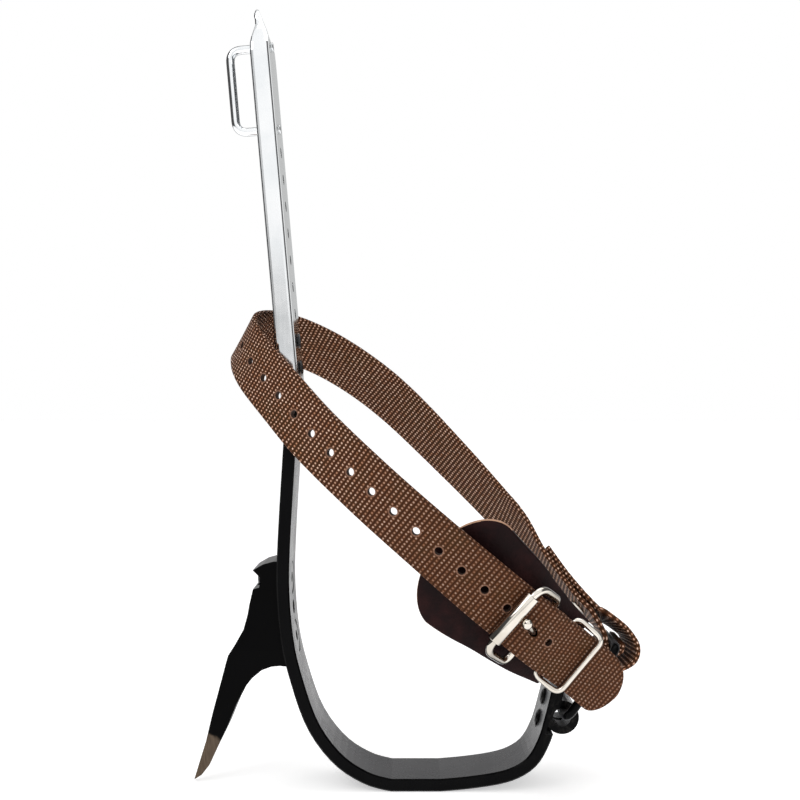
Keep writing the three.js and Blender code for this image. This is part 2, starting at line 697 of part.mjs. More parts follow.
// Its end is rounded, with the upper corner cut back further than the lower one.
const TIP_ROUND = [9, 16];
const tipSide = (d, round) => {
  const left = Math.min((strapRoute.length - d) / round, 1);
  return (STRAP_WIDTH / 2) * Math.sqrt(Math.max(1 - (1 - left) ** 2, 0.02));
};
const tipStart = strapRoute.length - TIP_ROUND[1];
const hookEnd = 30;
const bands = [
  [0, hookEnd, 2], [hookEnd, firstHole - 30, 6.5], [firstHole - 30, firstHole + 20, 4],
  [firstHole + 20, rollerPlace - 14, 6.5], [rollerPlace - 14, heelPlace + 14, 2.6],
  [heelPlace + 14, tipStart, 6], [tipStart, strapRoute.length, 1.5],
];
const strapRings = bands.flatMap(([from, to, step], i) => {
  const count = Math.ceil((to - from) / step);
  const places = [];
  for (let k = i === 0 ? 0 : 1; k <= count; k++) places.push(from + ((to - from) * k) / count);
  return places.map((d) => {
    const { point, across, out } = strapRoute.at(d);
    return [[-1, -1], [1, -1], [1, 1], [-1, 1]].map(([side, face]) =>
      point.clone()
        .addScaledVector(across, side * tipSide(d, TIP_ROUND[side < 0 ? 0 : 1]))
        .addScaledVector(out, strapLift(d) + (face * STRAP_THICKNESS) / 2),
    );
  });
});
let ankleStrap = solidOf(skin(strapRings));

// A frame on the strap at a distance along it: x along, y across, z outwards.
function onStrap(distance, shift = 0) {
  const { point, along, across, out } = strapRoute.at(distance);
  return placed(point.clone().addScaledVector(out, shift), along, across, out);
}
for (let i = 0; i < STRAP_HOLES; i++) {
  if (i === 15) continue;
  const hole = rod(STRAP_HOLE / 2, 12, 12);
  hole.translate(0, 0, -6);
  ankleStrap = ankleStrap.subtract(solidOf(hole, onStrap(holePlace(i))));
}

// ---------------------------------------------------------------- buckle
const ROLLER_LIFT = -0.8 + STRAP_THICKNESS / 2 + GAP + ROLLER_RADIUS;
const HEEL_DROP = 1.3 - STRAP_THICKNESS / 2 - GAP - CHAPE_THICKNESS - GAP - FRAME_WIRE / 2 - 0.6;
const BUCKLE_SHIFT = -1.4; // across the strap, towards its lower edge
const rollerCentre = v3(0, BUCKLE_SHIFT, ROLLER_LIFT).applyMatrix4(onStrap(rollerPlace));
const heelCentre = v3(0, BUCKLE_SHIFT, HEEL_DROP).applyMatrix4(onStrap(heelPlace));
const towardsHeel = heelCentre.clone().sub(rollerCentre).normalize();
const acrossBuckle = strapRoute.at((rollerPlace + heelPlace) / 2).across;
acrossBuckle.addScaledVector(towardsHeel, -acrossBuckle.dot(towardsHeel)).normalize();
const outOfBuckle = v3().crossVectors(towardsHeel, acrossBuckle);
const buckleFrame = placed(rollerCentre, towardsHeel, acrossBuckle, outOfBuckle);
// In the buckle's frame the roller's bar is at the origin and the heel bar on +x.
const rollerPoint = v3(0, 0, 0);
const heelPoint = v3(heelCentre.distanceTo(rollerCentre), 0, 0);
const FRAME_HALF = (FRAME_WIDTH - FRAME_WIRE) / 2;
const frameCorner = (point, side) => point.clone().add(v3(0, side * FRAME_HALF, 0));
addPiece(
  "buckle_frame",
  wire(
    [frameCorner(rollerPoint, -1), frameCorner(heelPoint, -1), frameCorner(heelPoint, 1), frameCorner(rollerPoint, 1)],
    FRAME_WIRE, [6.5, 3.8, 3.8, 6.5], true, 12,
  ),
  nickel,
  buckleFrame,
);

const ROLLER_LENGTH = 26.6;
const ROLLER_BORE = FRAME_WIRE / 2 + GAP;
const rollerShape = [
  [ROLLER_BORE, -ROLLER_LENGTH / 2], [ROLLER_RADIUS, -ROLLER_LENGTH / 2],
  [ROLLER_RADIUS, ROLLER_LENGTH / 2], [ROLLER_BORE, ROLLER_LENGTH / 2],
  [ROLLER_BORE, -ROLLER_LENGTH / 2],
].map(([r, z]) => new THREE.Vector2(r, z));
const roller = new THREE.LatheGeometry(rollerShape, 20);
addPiece("buckle_roller", roller, nickel, buckleFrame);

// The tongue: an eye round the heel bar and a prong that comes up through the strap
// and rests against the roller.
const TONGUE_EYE = FRAME_WIRE / 2 + GAP;
const TONGUE_WIDTH = 3.4;
const tongueTip = v3(3.7, 2.4, 4.9);
const TIP_RADIUS = 2.5;
const eyeOutline = new THREE.Shape().absarc(heelPoint.x, heelPoint.z, TONGUE_EYE + 1.7, 0, 2 * Math.PI);
eyeOutline.holes.push(
  new THREE.Path().absarc(heelPoint.x, heelPoint.z, TONGUE_EYE, 0, 2 * Math.PI, true),
);
const eyeGeometry = new THREE.ExtrudeGeometry(eyeOutline, {
  depth: TONGUE_WIDTH, bevelEnabled: false, curveSegments: 12,
});
eyeGeometry.rotateX(Math.PI / 2);
eyeGeometry.translate(0, TONGUE_WIDTH / 2, 0);
const prongStart = heelPoint.clone().add(v3(-1.2, 0, 3));
const prongCurve = new THREE.QuadraticBezierCurve3(
  prongStart, heelPoint.clone().add(v3(-5.5, 0.6, 5.2)), tongueTip,
);
function prong(radius, tipRadius, steps) {
  const rings = prongCurve.getPoints(steps).map((centre, i) => {
    const along = prongCurve.getTangent(i / steps);
    const side = v3().crossVectors(v3(0, 1, 0), along);
    const r = i === steps ? tipRadius : radius;
    return Array.from({ length: 10 }, (_, j) => {
      const angle = (j / 10) * 2 * Math.PI;
      return centre.clone()
        .add(v3(0, r * Math.cos(angle), 0))
        .addScaledVector(side, r * Math.sin(angle));
    });
  });
  return skin(rings);
}
const tipBall = new THREE.SphereGeometry(TIP_RADIUS, 16, 12);
tipBall.translate(tongueTip.x, tongueTip.y, tongueTip.z);
const tongue = solidOf(eyeGeometry).add(solidOf(prong(1.5, 1.5, 8))).add(solidOf(tipBall));
addPiece("buckle_tongue", geometryOf(tongue), nickel, buckleFrame);
ankleStrap = ankleStrap.subtract(solidOf(prong(2.2, 2.2, 8), buckleFrame));

// ---------------------------------------------------------------- buckle strap
// The short strap that carries the buckle. It starts on the outside of the long
// strap, bulges round the ring's far bar, turns under the tail and wraps the heel bar.
const beneath = (d, drop) => {
  const { point, across, out } = strapRoute.at(d);
  const place = point.clone().addScaledVector(out, strapLift(d) - drop);
  return [...place.toArray(), ...across.toArray()];
};
const overStrap = (d, lift) => {
  const { point, across, out } = strapRoute.at(d);
  const place = point.clone().addScaledVector(out, lift);
  return [...place.toArray(), ...across.toArray()];
};
const stack = STRAP_THICKNESS / 2 + GAP + CHAPE_THICKNESS / 2 + 0.05;
const doubledFrom = strapRoute.nearest(v3(64.6, 16.4, 102.4));
const doubledTo = strapRoute.nearest(v3(86, 3, 78.6));
const heelRadius = FRAME_WIRE / 2 + GAP + CHAPE_THICKNESS / 2 + 0.15;
const aroundHeel = (angle) => {
  const { along } = strapRoute.at(heelPlace);
  const out = v3().crossVectors(along, acrossBuckle).normalize();
  const forward = v3().crossVectors(acrossBuckle, out);
  const place = heelCentre.clone()
    .addScaledVector(acrossBuckle, -BUCKLE_SHIFT)
    .addScaledVector(forward, heelRadius * Math.cos(radians(angle)))
    .addScaledVector(out, heelRadius * Math.sin(radians(angle)));
  return [...place.toArray(), ...acrossBuckle.toArray()];
};
const RETURN_DROP = heelRadius - HEEL_DROP;
const chapeRoute = new Route([
  overStrap(doubledFrom, stack),
  overStrap((doubledFrom + doubledTo) / 2, stack),
  overStrap(doubledTo, stack + 0.3),
  overStrap(doubledTo - 5, stack + 1.4),
  [95.4, 0.6, 75.8, 0.16, -0.97, 0.16],
  [102.9, 0, 70.2, 0.14, -0.98, 0.1],
  [107.4, -0.3, 64.3, 0.1, -0.99, 0],
  [106.6, -0.6, 58.8, 0.07, -0.99, -0.07],
  [101.4, -1, 55, 0, -1, -0.1],
  [95.4, -1, 53.8, 0, -1, 0],
  [88.5, -1.5, 53.8, 0, -1, 0.1],
  [82, -4.5, 55, 0.05, -0.93, 0.35],
  [77.3, -12, 57.6, 0.3, -0.5, 0.8],
  [74.8, -20.5, 60.6, 0.55, -0.2, 0.8],
  [73.6, -28.5, 62.4, 0.6, -0.05, 0.8],
  ...[22, 18, 14, 11, 8, 5].map((d) => beneath(heelPlace + d, stack + 0.35)),
  ...[90, 135, 180, 225, 270].map(aroundHeel),
  overStrap(heelPlace + 6, -RETURN_DROP),
  overStrap(heelPlace + 12.5, -RETURN_DROP),
]);
let chape = solidOf(
  band(chapeRoute, 0, chapeRoute.length, 2.6, CHAPE_THICKNESS, () => STRAP_WIDTH / 2),
);
// A slot in the fold leaves room for the tongue's eye.
const SLOT_HALF = TONGUE_WIDTH / 2 + 0.5;
chape = chape.subtract(
  solidOf(
    block([-10, -SLOT_HALF, -9], [5, SLOT_HALF, 9]),
    onStrap(heelPlace).setPosition(heelCentre),
  ),
);

// ---------------------------------------------------------------- pad
// The leather pad under the buckle: a broad round end that tapers to the strap.
const PAD_THICKNESS = 4;
const PAD_HALF = 30;
const PAD_END_HALF = 19.4;
const PAD_FROM = rollerPlace - 45.3;
const PAD_TO = heelPlace + 26.5;
const PAD_ROUND = 20;
const padFace = -RETURN_DROP - CHAPE_THICKNESS / 2 - GAP - 0.3;
const padLift = padFace - PAD_THICKNESS / 2;
const padHalf = (d) => {
  const fromEnd = d - PAD_FROM;
  if (fromEnd < PAD_ROUND) {
    return PAD_HALF * Math.sqrt(Math.max(1 - (1 - fromEnd / PAD_ROUND) ** 2, 0.01));
  }
  const t = (fromEnd - PAD_ROUND) / (PAD_TO - PAD_FROM - PAD_ROUND);
  return PAD_HALF - (PAD_HALF - PAD_END_HALF) * t;
};
const padShift = (d) => -1 - 2.2 * THREE.MathUtils.smoothstep(rollerPlace - d, -8, 24);
let pad = solidOf(
  band(strapRoute, PAD_FROM, PAD_TO, 3, PAD_THICKNESS, padHalf, () => padLift, padShift),
);

// Two copper-pattern rivets join the folded end of the buckle strap and the pad.
const FOLD_RIVET = 1.6;
["buckle_rivet_near", "buckle_rivet_far"].forEach((name, i) => {
  const frame = onStrap(heelPlace + 9).multiply(
    new THREE.Matrix4().makeTranslation(0, (i === 0 ? -1 : 1) * 8, 0),
  );
  const top = -stack + CHAPE_THICKNESS / 2 + strapLift(heelPlace + 9) - 0.3;
  const bottom = padFace - PAD_THICKNESS - GAP;
  const bore = solidOf(
    turned([
      [0, bottom - 3], [FOLD_RIVET + GAP, bottom - 3], [FOLD_RIVET + GAP, top - 1.4],
      [3.6, top - 0.4], [3.6, top + 3], [0, top + 3],
    ]),
    frame,
  );
  chape = chape.subtract(bore);
  pad = pad.subtract(bore);
  const rivet = turned([
    [0, bottom - 1.4], [2.6, bottom - 1.1], [3.9, bottom - 0.2], [FOLD_RIVET, bottom - 0.2],
    [FOLD_RIVET, top - 1.4], [2.9, top - 0.5], [2.9, top - 0.1], [0, top - 0.1],
  ]);
  addPiece(name, rivet, nickel, frame);
});
addPiece("buckle_pad", geometryOf(pad), leather);

// ---------------------------------------------------------------- strap rivets
// Two rivets with burrs join the long strap to the start of the buckle strap.
const STRAP_RIVET = 1.7;
const outerFace = stack + CHAPE_THICKNESS / 2 + 0.1;
[doubledFrom - 9, doubledTo + 4].forEach((place, i) => {
  const frame = onStrap(place);
  const which = i === 0 ? "upper" : "lower";
  const bore = solidOf(rod(STRAP_RIVET + GAP, 24, 16).translate(0, 0, -12), frame);
  ankleStrap = ankleStrap.subtract(bore);
  chape = chape.subtract(bore);
  const inner = -STRAP_THICKNESS / 2 - GAP;
  const burrTop = outerFace + GAP + 1;
  const rivet = turned([
    [0, inner - 1.6], [2.4, inner - 1.3], [4, inner - 0.4], [4, inner], [STRAP_RIVET, inner],
    [STRAP_RIVET, burrTop + 0.3], [2.3, burrTop + 0.3], [1.8, burrTop + 0.9], [0, burrTop + 1],
  ]);
  addPiece("strap_rivet_" + which, rivet, nickel, frame);
  const burr = [
    [STRAP_RIVET + GAP, outerFace + GAP], [4.3, outerFace + GAP], [4.1, burrTop],
    [STRAP_RIVET + GAP, burrTop], [STRAP_RIVET + GAP, outerFace + GAP],
  ].map(([r, z]) => new THREE.Vector2(r, z));
  const burrGeometry = new THREE.LatheGeometry(burr, 20);
  burrGeometry.rotateX(Math.PI / 2);
  addPiece("strap_rivet_burr_" + which, burrGeometry, nickel, frame);
});
addPiece("ankle_strap", geometryOf(ankleStrap), webbing);
addPiece("buckle_strap", geometryOf(chape), webbing);

// ---------------------------------------------------------------- keeper
// A wire loop that lies aslant: one bar over the tail, the other under the buckle
// strap and nearer to the buckle.
const KEEPER_HALF = 16.5;
const keeperBar = (place, lift) => [-1, 1].map((side) => {
  const { point, across, out } = strapRoute.at(place);
  return point.clone().addScaledVector(out, lift).addScaledVector(across, side * KEEPER_HALF);
});
const overTail = STRAP_THICKNESS / 2 + 0.5 + KEEPER_WIRE / 2;
const underStrap = stack + CHAPE_THICKNESS / 2 + 0.9 + KEEPER_WIRE / 2;
const [frontLow, frontHigh] = keeperBar(heelPlace + 28, overTail);
const [backLow, backHigh] = keeperBar(heelPlace + 16, -underStrap);
addPiece(
  "strap_keeper",
  wire([frontLow, frontHigh, backHigh, backLow], KEEPER_WIRE, [4, 4, 4, 4], true, 10),
  nickel,
);

export default spur;
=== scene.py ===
"""Tree climbing spur: the visual model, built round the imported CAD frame."""
import math

import bpy
import numpy as np
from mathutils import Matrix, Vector


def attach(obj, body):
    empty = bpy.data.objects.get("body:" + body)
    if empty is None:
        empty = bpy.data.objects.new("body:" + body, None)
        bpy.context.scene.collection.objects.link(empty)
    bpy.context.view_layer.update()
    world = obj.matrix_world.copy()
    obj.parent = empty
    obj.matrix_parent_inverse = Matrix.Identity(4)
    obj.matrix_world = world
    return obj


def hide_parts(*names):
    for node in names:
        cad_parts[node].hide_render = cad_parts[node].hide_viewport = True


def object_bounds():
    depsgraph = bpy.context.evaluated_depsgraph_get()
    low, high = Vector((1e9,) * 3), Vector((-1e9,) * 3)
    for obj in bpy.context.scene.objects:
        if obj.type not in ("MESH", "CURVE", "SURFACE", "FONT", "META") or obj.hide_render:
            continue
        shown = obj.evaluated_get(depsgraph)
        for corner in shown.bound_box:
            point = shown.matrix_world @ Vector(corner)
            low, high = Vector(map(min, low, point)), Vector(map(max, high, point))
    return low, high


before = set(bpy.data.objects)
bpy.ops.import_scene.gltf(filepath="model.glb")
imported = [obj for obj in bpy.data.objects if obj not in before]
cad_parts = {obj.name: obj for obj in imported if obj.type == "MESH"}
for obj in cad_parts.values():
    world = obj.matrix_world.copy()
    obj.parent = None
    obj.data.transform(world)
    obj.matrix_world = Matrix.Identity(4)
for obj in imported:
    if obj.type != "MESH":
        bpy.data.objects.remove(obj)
cad_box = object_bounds()

MM = 0.001

# ------------------------------------------------------------------ sizes, in mm
STRAP_WIDTH = 28.6
STRAP_THICKNESS = 2.6
CHAPE_THICKNESS = 2.4
STRAP_HOLES = 17
TONGUE_HOLE = 15
STRAP_PITCH = 13.4
STRAP_HOLE = 3.8
ROLLER_PLACE = 191.5
HEEL_REACH = 17.2
ROLLER_RADIUS = 3.3
FRAME_WIRE = 3.6
FRAME_WIDTH = 41.6
KEEPER_WIRE = 2.8
GAP = 0.3
BUCKLE_SHIFT = -1.4
RING_HINGE = np.array([73.0, 0.0, 30.6])
RING_WIRE = 4.4
RING_LENGTH = 42.0
RING_WIDTH = 40.0
RING_LEAN = math.radians(54.5)
IRON_FOOT = np.array([-56.8, 0.0, 187.5])
IRON_LEAN = math.radians(5.05)
IRON_LENGTH = 194.5
IRON_DEPTH = 9.5
IRON_SHEET = 1.4
LOOP_WIRE = 4.3
LOOP_HEIGHT = 41.4
LOOP_TOP = 19.0
LOOP_REACH = 11.9
WIRE_INSET = 0.02
WIRE_SIDES = 24
KEEPER_PLACE = 16
# 0.15 closer than the CAD wire, so that it clears the fold when it slides back
KEEPER_CLEARANCE = 0.75


def unit(a):
    a = np.asarray(a, float)
    return a / np.linalg.norm(a, axis=-1, keepdims=True)


# ------------------------------------------------------------------ the straps' routes
class Curve:
    """A Catmull-Rom curve: centripetal, or uniform where a tension is given."""

    STEPS = 1200

    def __init__(self, points, tension=None):
        self.points = np.array(points, float)
        self.tension = tension
        line = self.at(np.linspace(0, 1, self.STEPS + 1))
        pieces = np.linalg.norm(np.diff(line, axis=0), axis=1)
        self.lengths = np.concatenate([[0], np.cumsum(pieces)])

    def at(self, t):
        p = self.points
        s = np.clip(t, 0, 1) * (len(p) - 1)
        i = np.minimum(s.astype(int), len(p) - 2)
        w = (s - i)[:, None]
        q = np.vstack([2 * p[0] - p[1], p, 2 * p[-1] - p[-2]])
        p0, p1, p2, p3 = q[i], q[i + 1], q[i + 2], q[i + 3]
        if self.tension is None:
            d0, d1, d2 = (
                np.sum((b - a) ** 2, axis=1)[:, None] ** 0.25
                for a, b in ((p0, p1), (p1, p2), (p2, p3))
            )
            t1 = ((p1 - p0) / d0 - (p2 - p0) / (d0 + d1) + (p2 - p1) / d1) * d1
            t2 = ((p2 - p1) / d1 - (p3 - p1) / (d1 + d2) + (p3 - p2) / d2) * d1
        else:
            t1 = self.tension * (p2 - p0)
            t2 = self.tension * (p3 - p1)
        c2 = -3 * p1 + 3 * p2 - 2 * t1 - t2
        c3 = 2 * p1 - 2 * p2 + t1 + t2
        return p1 + t1 * w + c2 * w**2 + c3 * w**3


class Route:
    """A strap's middle line, and the direction of its upper edge along it."""

    def __init__(self, stations):
        stations = np.array(stations, float)
        self.line = Curve(stations[:, :3])
        self.edges = Curve(unit(stations[:, 3:]), tension=0.5)
        self.length = self.line.lengths[-1]

    def at(self, distance):
        """Middle, along, across and out for one distance or for many."""
        d = np.atleast_1d(np.asarray(distance, float))
        steps = np.linspace(0, 1, Curve.STEPS + 1)
        t = np.interp(np.clip(d, 0, self.length), self.line.lengths, steps)
        low, high = np.clip(t - 1e-4, 0, 1), np.clip(t + 1e-4, 0, 1)
        along = unit(self.line.at(high) - self.line.at(low))
        across = self.edges.at(t)
        across = unit(across - along * np.sum(across * along, axis=1)[:, None])
        out = np.cross(along, across)
        return self.line.at(t), along, across, out

    def nearest(self, target):
        d = np.arange(0, self.length, 0.25)
        gaps = np.linalg.norm(self.at(d)[0] - np.asarray(target, float), axis=1)
        return d[np.argmin(gaps)]


ring_way = np.array([math.cos(RING_LEAN), 0, math.sin(RING_LEAN)])
far_bar = RING_HINGE + RING_LENGTH * ring_way


def hook(angle, radius):
    a = math.radians(angle)
    return [far_bar[0] + radius * math.cos(a), 0, far_bar[2] + radius * math.sin(a), 0, -1, 0]


strap_route = Route([
    hook(12, 4.15), hook(-40, 4.15), hook(-90, 4.15), hook(-140, 4.15), hook(-180, 4.2),
    [92.6, 0.2, 70, 0, -1, 0],
    [87.6, 2.2, 77, 0.1, -0.98, 0.1],
    [78.3, 7.5, 86.2, 0.15, -0.97, 0.15],
    [63.7, 17, 103.4, 0.24, -0.95, 0.2],
    [52.5, 26, 118.8, 0.38, -0.86, 0.32],
    [43.3, 32.5, 128.8, 0.44, -0.8, 0.38],
    [22.4, 40, 151, 0.5, -0.72, 0.48],
    [-10.1, 45, 183.4, 0.53, -0.61, 0.59],
    [-28.4, 43, 198, 0.46, -0.57, 0.68],
    [-47.6, 40.5, 209.8, 0.4, -0.53, 0.75],
    [-64.2, 35.5, 216.8, 0.38, -0.48, 0.79],
    [-77.6, 25, 219.9, 0.42, -0.48, 0.76],
    [-86, 4, 217.6, 0.46, -0.54, 0.7],
    [-84.9, -6.5, 211.4, 0.48, -0.46, 0.73],
    [-79, -16, 202.7, 0.52, -0.36, 0.76],
    [-64.5, -29.5, 186.8, 0.56, -0.3, 0.77],
    [-48.7, -40.5, 169.8, 0.59, -0.28, 0.75],
    [-20.6, -53.3, 143.9, 0.6, -0.28, 0.75],
    [9.4, -58.3, 117.9, 0.62, -0.24, 0.75],
    [39.5, -57.6, 92.3, 0.61, -0.08, 0.78],
    [59.1, -48.8, 75.2, 0.61, 0, 0.79],
    [75.7, -39, 61.6, 0.62, 0, 0.78],
    [94.4, -29.5, 44.6, 0.62, 0, 0.78],
])
first_hole = strap_route.nearest([-84.8, -5.5, 212.2])
roller_place = first_hole + ROLLER_PLACE
heel_place = roller_place + HEEL_REACH


def bump(d, middle, spread):
    return np.exp(-(((d - middle) / spread) ** 2))


def strap_lift(d):
    return -1.3 * bump(d, roller_place, 7) + 1.3 * bump(d, heel_place + 1, 8)


TIP_ROUND = (9.0, 16.0)  # reach of the rounding at the lower and the upper corner


def tip_side(d, reach):
    left = np.clip((strap_route.length - d) / reach, 0, 1)
    return STRAP_WIDTH / 2 * np.sqrt(np.maximum(1 - (1 - left) ** 2, 0.02))


def strap_half(d):
    return (tip_side(d, TIP_ROUND[0]) + tip_side(d, TIP_ROUND[1])) / 2


def strap_shift(d):
    return (tip_side(d, TIP_ROUND[1]) - tip_side(d, TIP_ROUND[0])) / 2


def on_strap(distance, side=0.0, lift=0.0):
    point, _, across, out = (a[0] for a in strap_route.at(distance))
    return point + side * across + lift * out


# The buckle's frame: origin on the roller's axis, x towards the heel bar, y across.
ROLLER_LIFT = -0.8 + STRAP_THICKNESS / 2 + GAP + ROLLER_RADIUS
HEEL_DROP = 1.3 - STRAP_THICKNESS / 2 - GAP - CHAPE_THICKNESS - GAP - FRAME_WIRE / 2 - 0.6
roller_centre = on_strap(roller_place, BUCKLE_SHIFT, ROLLER_LIFT)
heel_centre = on_strap(heel_place, BUCKLE_SHIFT, HEEL_DROP)
to_heel = unit(heel_centre - roller_centre)
across_buckle = strap_route.at((roller_place + heel_place) / 2)[2][0]
across_buckle = unit(across_buckle - to_heel * np.dot(across_buckle, to_heel))
out_of_buckle = np.cross(to_heel, across_buckle)
heel_x = float(np.linalg.norm(heel_centre - roller_centre))


def in_buckle(x, y, z):
    return roller_centre + x * to_heel + y * across_buckle + z * out_of_buckle


# The short strap that carries the buckle.
stack = STRAP_THICKNESS / 2 + GAP + CHAPE_THICKNESS / 2 + 0.05
doubled_from = strap_route.nearest([64.6, 16.4, 102.4])
doubled_to = strap_route.nearest([86, 3, 78.6])
heel_radius = FRAME_WIRE / 2 + GAP + CHAPE_THICKNESS / 2 + 0.15


def beneath(d, drop):
    return over_strap(d, float(strap_lift(d)) - drop)


def over_strap(d, lift):
    _, _, across, _ = (a[0] for a in strap_route.at(d))
    return [*on_strap(d, 0, lift), *across]


def around_heel(angle):
    along = strap_route.at(heel_place)[1][0]
    out = unit(np.cross(along, across_buckle))
    forward = np.cross(across_buckle, out)
    a = math.radians(angle)
    place = (
        heel_centre - across_buckle * BUCKLE_SHIFT
        + forward * heel_radius * math.cos(a) + out * heel_radius * math.sin(a)
    )
    return [*place, *across_buckle]


RETURN_DROP = heel_radius - HEEL_DROP
chape_route = Route([
    over_strap(doubled_from, stack),
    over_strap((doubled_from + doubled_to) / 2, stack),
    over_strap(doubled_to, stack + 0.3),
    over_strap(doubled_to - 5, stack + 1.4),
    [95.4, 0.6, 75.8, 0.16, -0.97, 0.16],
    [102.9, 0, 70.2, 0.14, -0.98, 0.1],
    [107.4, -0.3, 64.3, 0.1, -0.99, 0],
    [106.6, -0.6, 58.8, 0.07, -0.99, -0.07],
    [101.4, -1, 55, 0, -1, -0.1],
    [95.4, -1, 53.8, 0, -1, 0],
    [88.5, -1.5, 53.8, 0, -1, 0.1],
    [82, -4.5, 55, 0.05, -0.93, 0.35],
    [77.3, -12, 57.6, 0.3, -0.5, 0.8],
    [74.8, -20.5, 60.6, 0.55, -0.2, 0.8],
    [73.6, -28.5, 62.4, 0.6, -0.05, 0.8],
    *[beneath(heel_place + d, stack + 0.35) for d in (22, 18, 14, 11, 8, 5)],
    *[around_heel(a) for a in (90, 135, 180, 225, 270)],
    over_strap(heel_place + 6, -RETURN_DROP),
    over_strap(heel_place + 12.5, -RETURN_DROP),
])


# ------------------------------------------------------------------ meshes
def new_object(name, vertices, faces, smooth=True):
    mesh = bpy.data.meshes.new(name)
    mesh.from_pydata([tuple(p) for p in np.asarray(vertices) * MM], [], faces)
    mesh.validate()
    mesh.polygons.foreach_set("use_smooth", [smooth] * len(mesh.polygons))
    obj = bpy.data.objects.new(name, mesh)
    bpy.context.scene.collection.objects.link(obj)
    return obj


def smooth_by_angle(obj, degrees=35):
    """Smooth shading that keeps the edges sharper than the angle."""
    mesh = obj.data
    mesh.polygons.foreach_set("use_smooth", [True] * len(mesh.polygons))
    mesh.set_sharp_from_angle(angle=math.radians(degrees))


PROFILE_ACROSS = 8
PROFILE_ROUND = 5


def band_profile(half, thickness, radius):
    """One ring round a band: (side, face) points, starting where the flat of the
    outer face meets its low edge. Radius rounds the four corners."""
    r = min(radius, half * 0.95, thickness / 2 * 0.999)
    flat, rise = half - r, thickness / 2 - r
    points = []
    corners = [(flat, rise, 90, 0), (flat, -rise, 0, -90), (-flat, -rise, -90, -180), (-flat, rise, 180, 90)]
    for k in range(PROFILE_ACROSS + 1):
        points.append((-flat + 2 * flat * k / PROFILE_ACROSS, thickness / 2))
    for x, y, start, stop in corners[:2]:
        for k in range(1 if (x, y) == (flat, rise) else 0, PROFILE_ROUND + 1):
            a = math.radians(start + (stop - start) * k / PROFILE_ROUND)
            points.append((x + r * math.cos(a), y + r * math.sin(a)))
    for k in range(1, PROFILE_ACROSS + 1):
        points.append((flat - 2 * flat * k / PROFILE_ACROSS, -thickness / 2))
    for x, y, start, stop in corners[2:]:
        for k in range(1 if (x, y) == (-flat, -rise) else 0, PROFILE_ROUND + 1):
            a = math.radians(start + (stop - start) * k / PROFILE_ROUND)
            points.append((x + r * math.cos(a), y + r * math.sin(a)))
    points = points[:-1]
    return points


def band(name, route, places, half, thickness, lift, shift=lambda d: 0.0, radius=1.1,
         end_radius=0.0, crown=lambda side: 0.0):
    """A closed band with rounded edges and a UV map in millimetres over ten: u along
    the route, v round the band from its middle."""
    middle, _, across, out = route.at(places)
    vertices, uv_rows = [], []
    for i, d in enumerate(places):
        width = float(half(d))
        profile = band_profile(width, thickness, radius)
        count = len(profile)
        travel = -width + min(radius, width * 0.95)
        row = []
        for j, (x, y) in enumerate(profile):
            if j:
                px, py = profile[j - 1]
                travel += math.hypot(x - px, y - py)
            row.append(travel)
            swell = crown(x / width) if y > 0 else 0.0
            vertices.append(
                middle[i] + across[i] * (float(shift(d)) + x)
                + out[i] * (float(lift(d)) + y + swell)
            )
        px, py = profile[-1]
        row.append(travel + math.hypot(profile[0][0] - px, profile[0][1] - py))
        uv_rows.append(row)
    faces, uvs = [], []
    for i in range(len(places) - 1):
        for j in range(count):
            k = (j + 1) % count
            faces.append((i * count + j, i * count + k, (i + 1) * count + k, (i + 1) * count + j))
            uvs += [
                (places[i], uv_rows[i][j]), (places[i], uv_rows[i][j + 1]),
                (places[i + 1], uv_rows[i + 1][j + 1]), (places[i + 1], uv_rows[i + 1][j]),
            ]
    last = (len(places) - 1) * count
    faces.append(tuple(reversed(range(count))))
    uvs += [(places[0] - 4, 40.0)] * count
    faces.append(tuple(range(last, last + count)))
    uvs += [(places[-1] + 4, 40.0)] * count
    obj = new_object(name, vertices, faces)
    layer = obj.data.uv_layers.new(name="weave")
    layer.data.foreach_set("uv", (np.array(uvs, float) / 10).ravel())
    return obj


def apply_modifiers(obj):
    depsgraph = bpy.context.evaluated_depsgraph_get()
    mesh = bpy.data.meshes.new_from_object(obj.evaluated_get(depsgraph))
    old = obj.data
    obj.modifiers.clear()
    obj.data = mesh
    bpy.data.meshes.remove(old)


def rod_vertices(centre, axis, side, radius, length, sides, ends=(1.0, 1.0)):
    """Rings of a rod: its two end circles."""
    other = np.cross(axis, side)
    rings = []
    for end, scale in zip((-1, 1), ends):
        for k in range(sides):
            a = 2 * math.pi * k / sides
            rings.append(
                centre + axis * end * length / 2
                + (side * math.cos(a) + other * math.sin(a)) * radius * scale
            )
    return rings


def cutter(rods):
    """One object from several rods, to cut holes with."""
    vertices, faces = [], []
    for rings, sides in rods:
        base = len(vertices)
        vertices += rings
        for k in range(sides):
            n = (k + 1) % sides
            faces.append((base + k, base + n, base + sides + n, base + sides + k))
        faces.append(tuple(base + k for k in reversed(range(sides))))
        faces.append(tuple(base + sides + k for k in range(sides)))
    obj = new_object("cutter", vertices, faces, smooth=True)
    layer = obj.data.uv_layers.new(name="weave")
    layer.data.foreach_set("uv", np.full(2 * len(obj.data.loops), -50.0))
    return obj


def cut(obj, tool):
    modifier = obj.modifiers.new("cut", "BOOLEAN")
    modifier.operation = "DIFFERENCE"
    modifier.solver = "EXACT"
    modifier.object = tool
    apply_modifiers(obj)
    mesh = tool.data
    bpy.data.objects.remove(tool)
    bpy.data.meshes.remove(mesh)


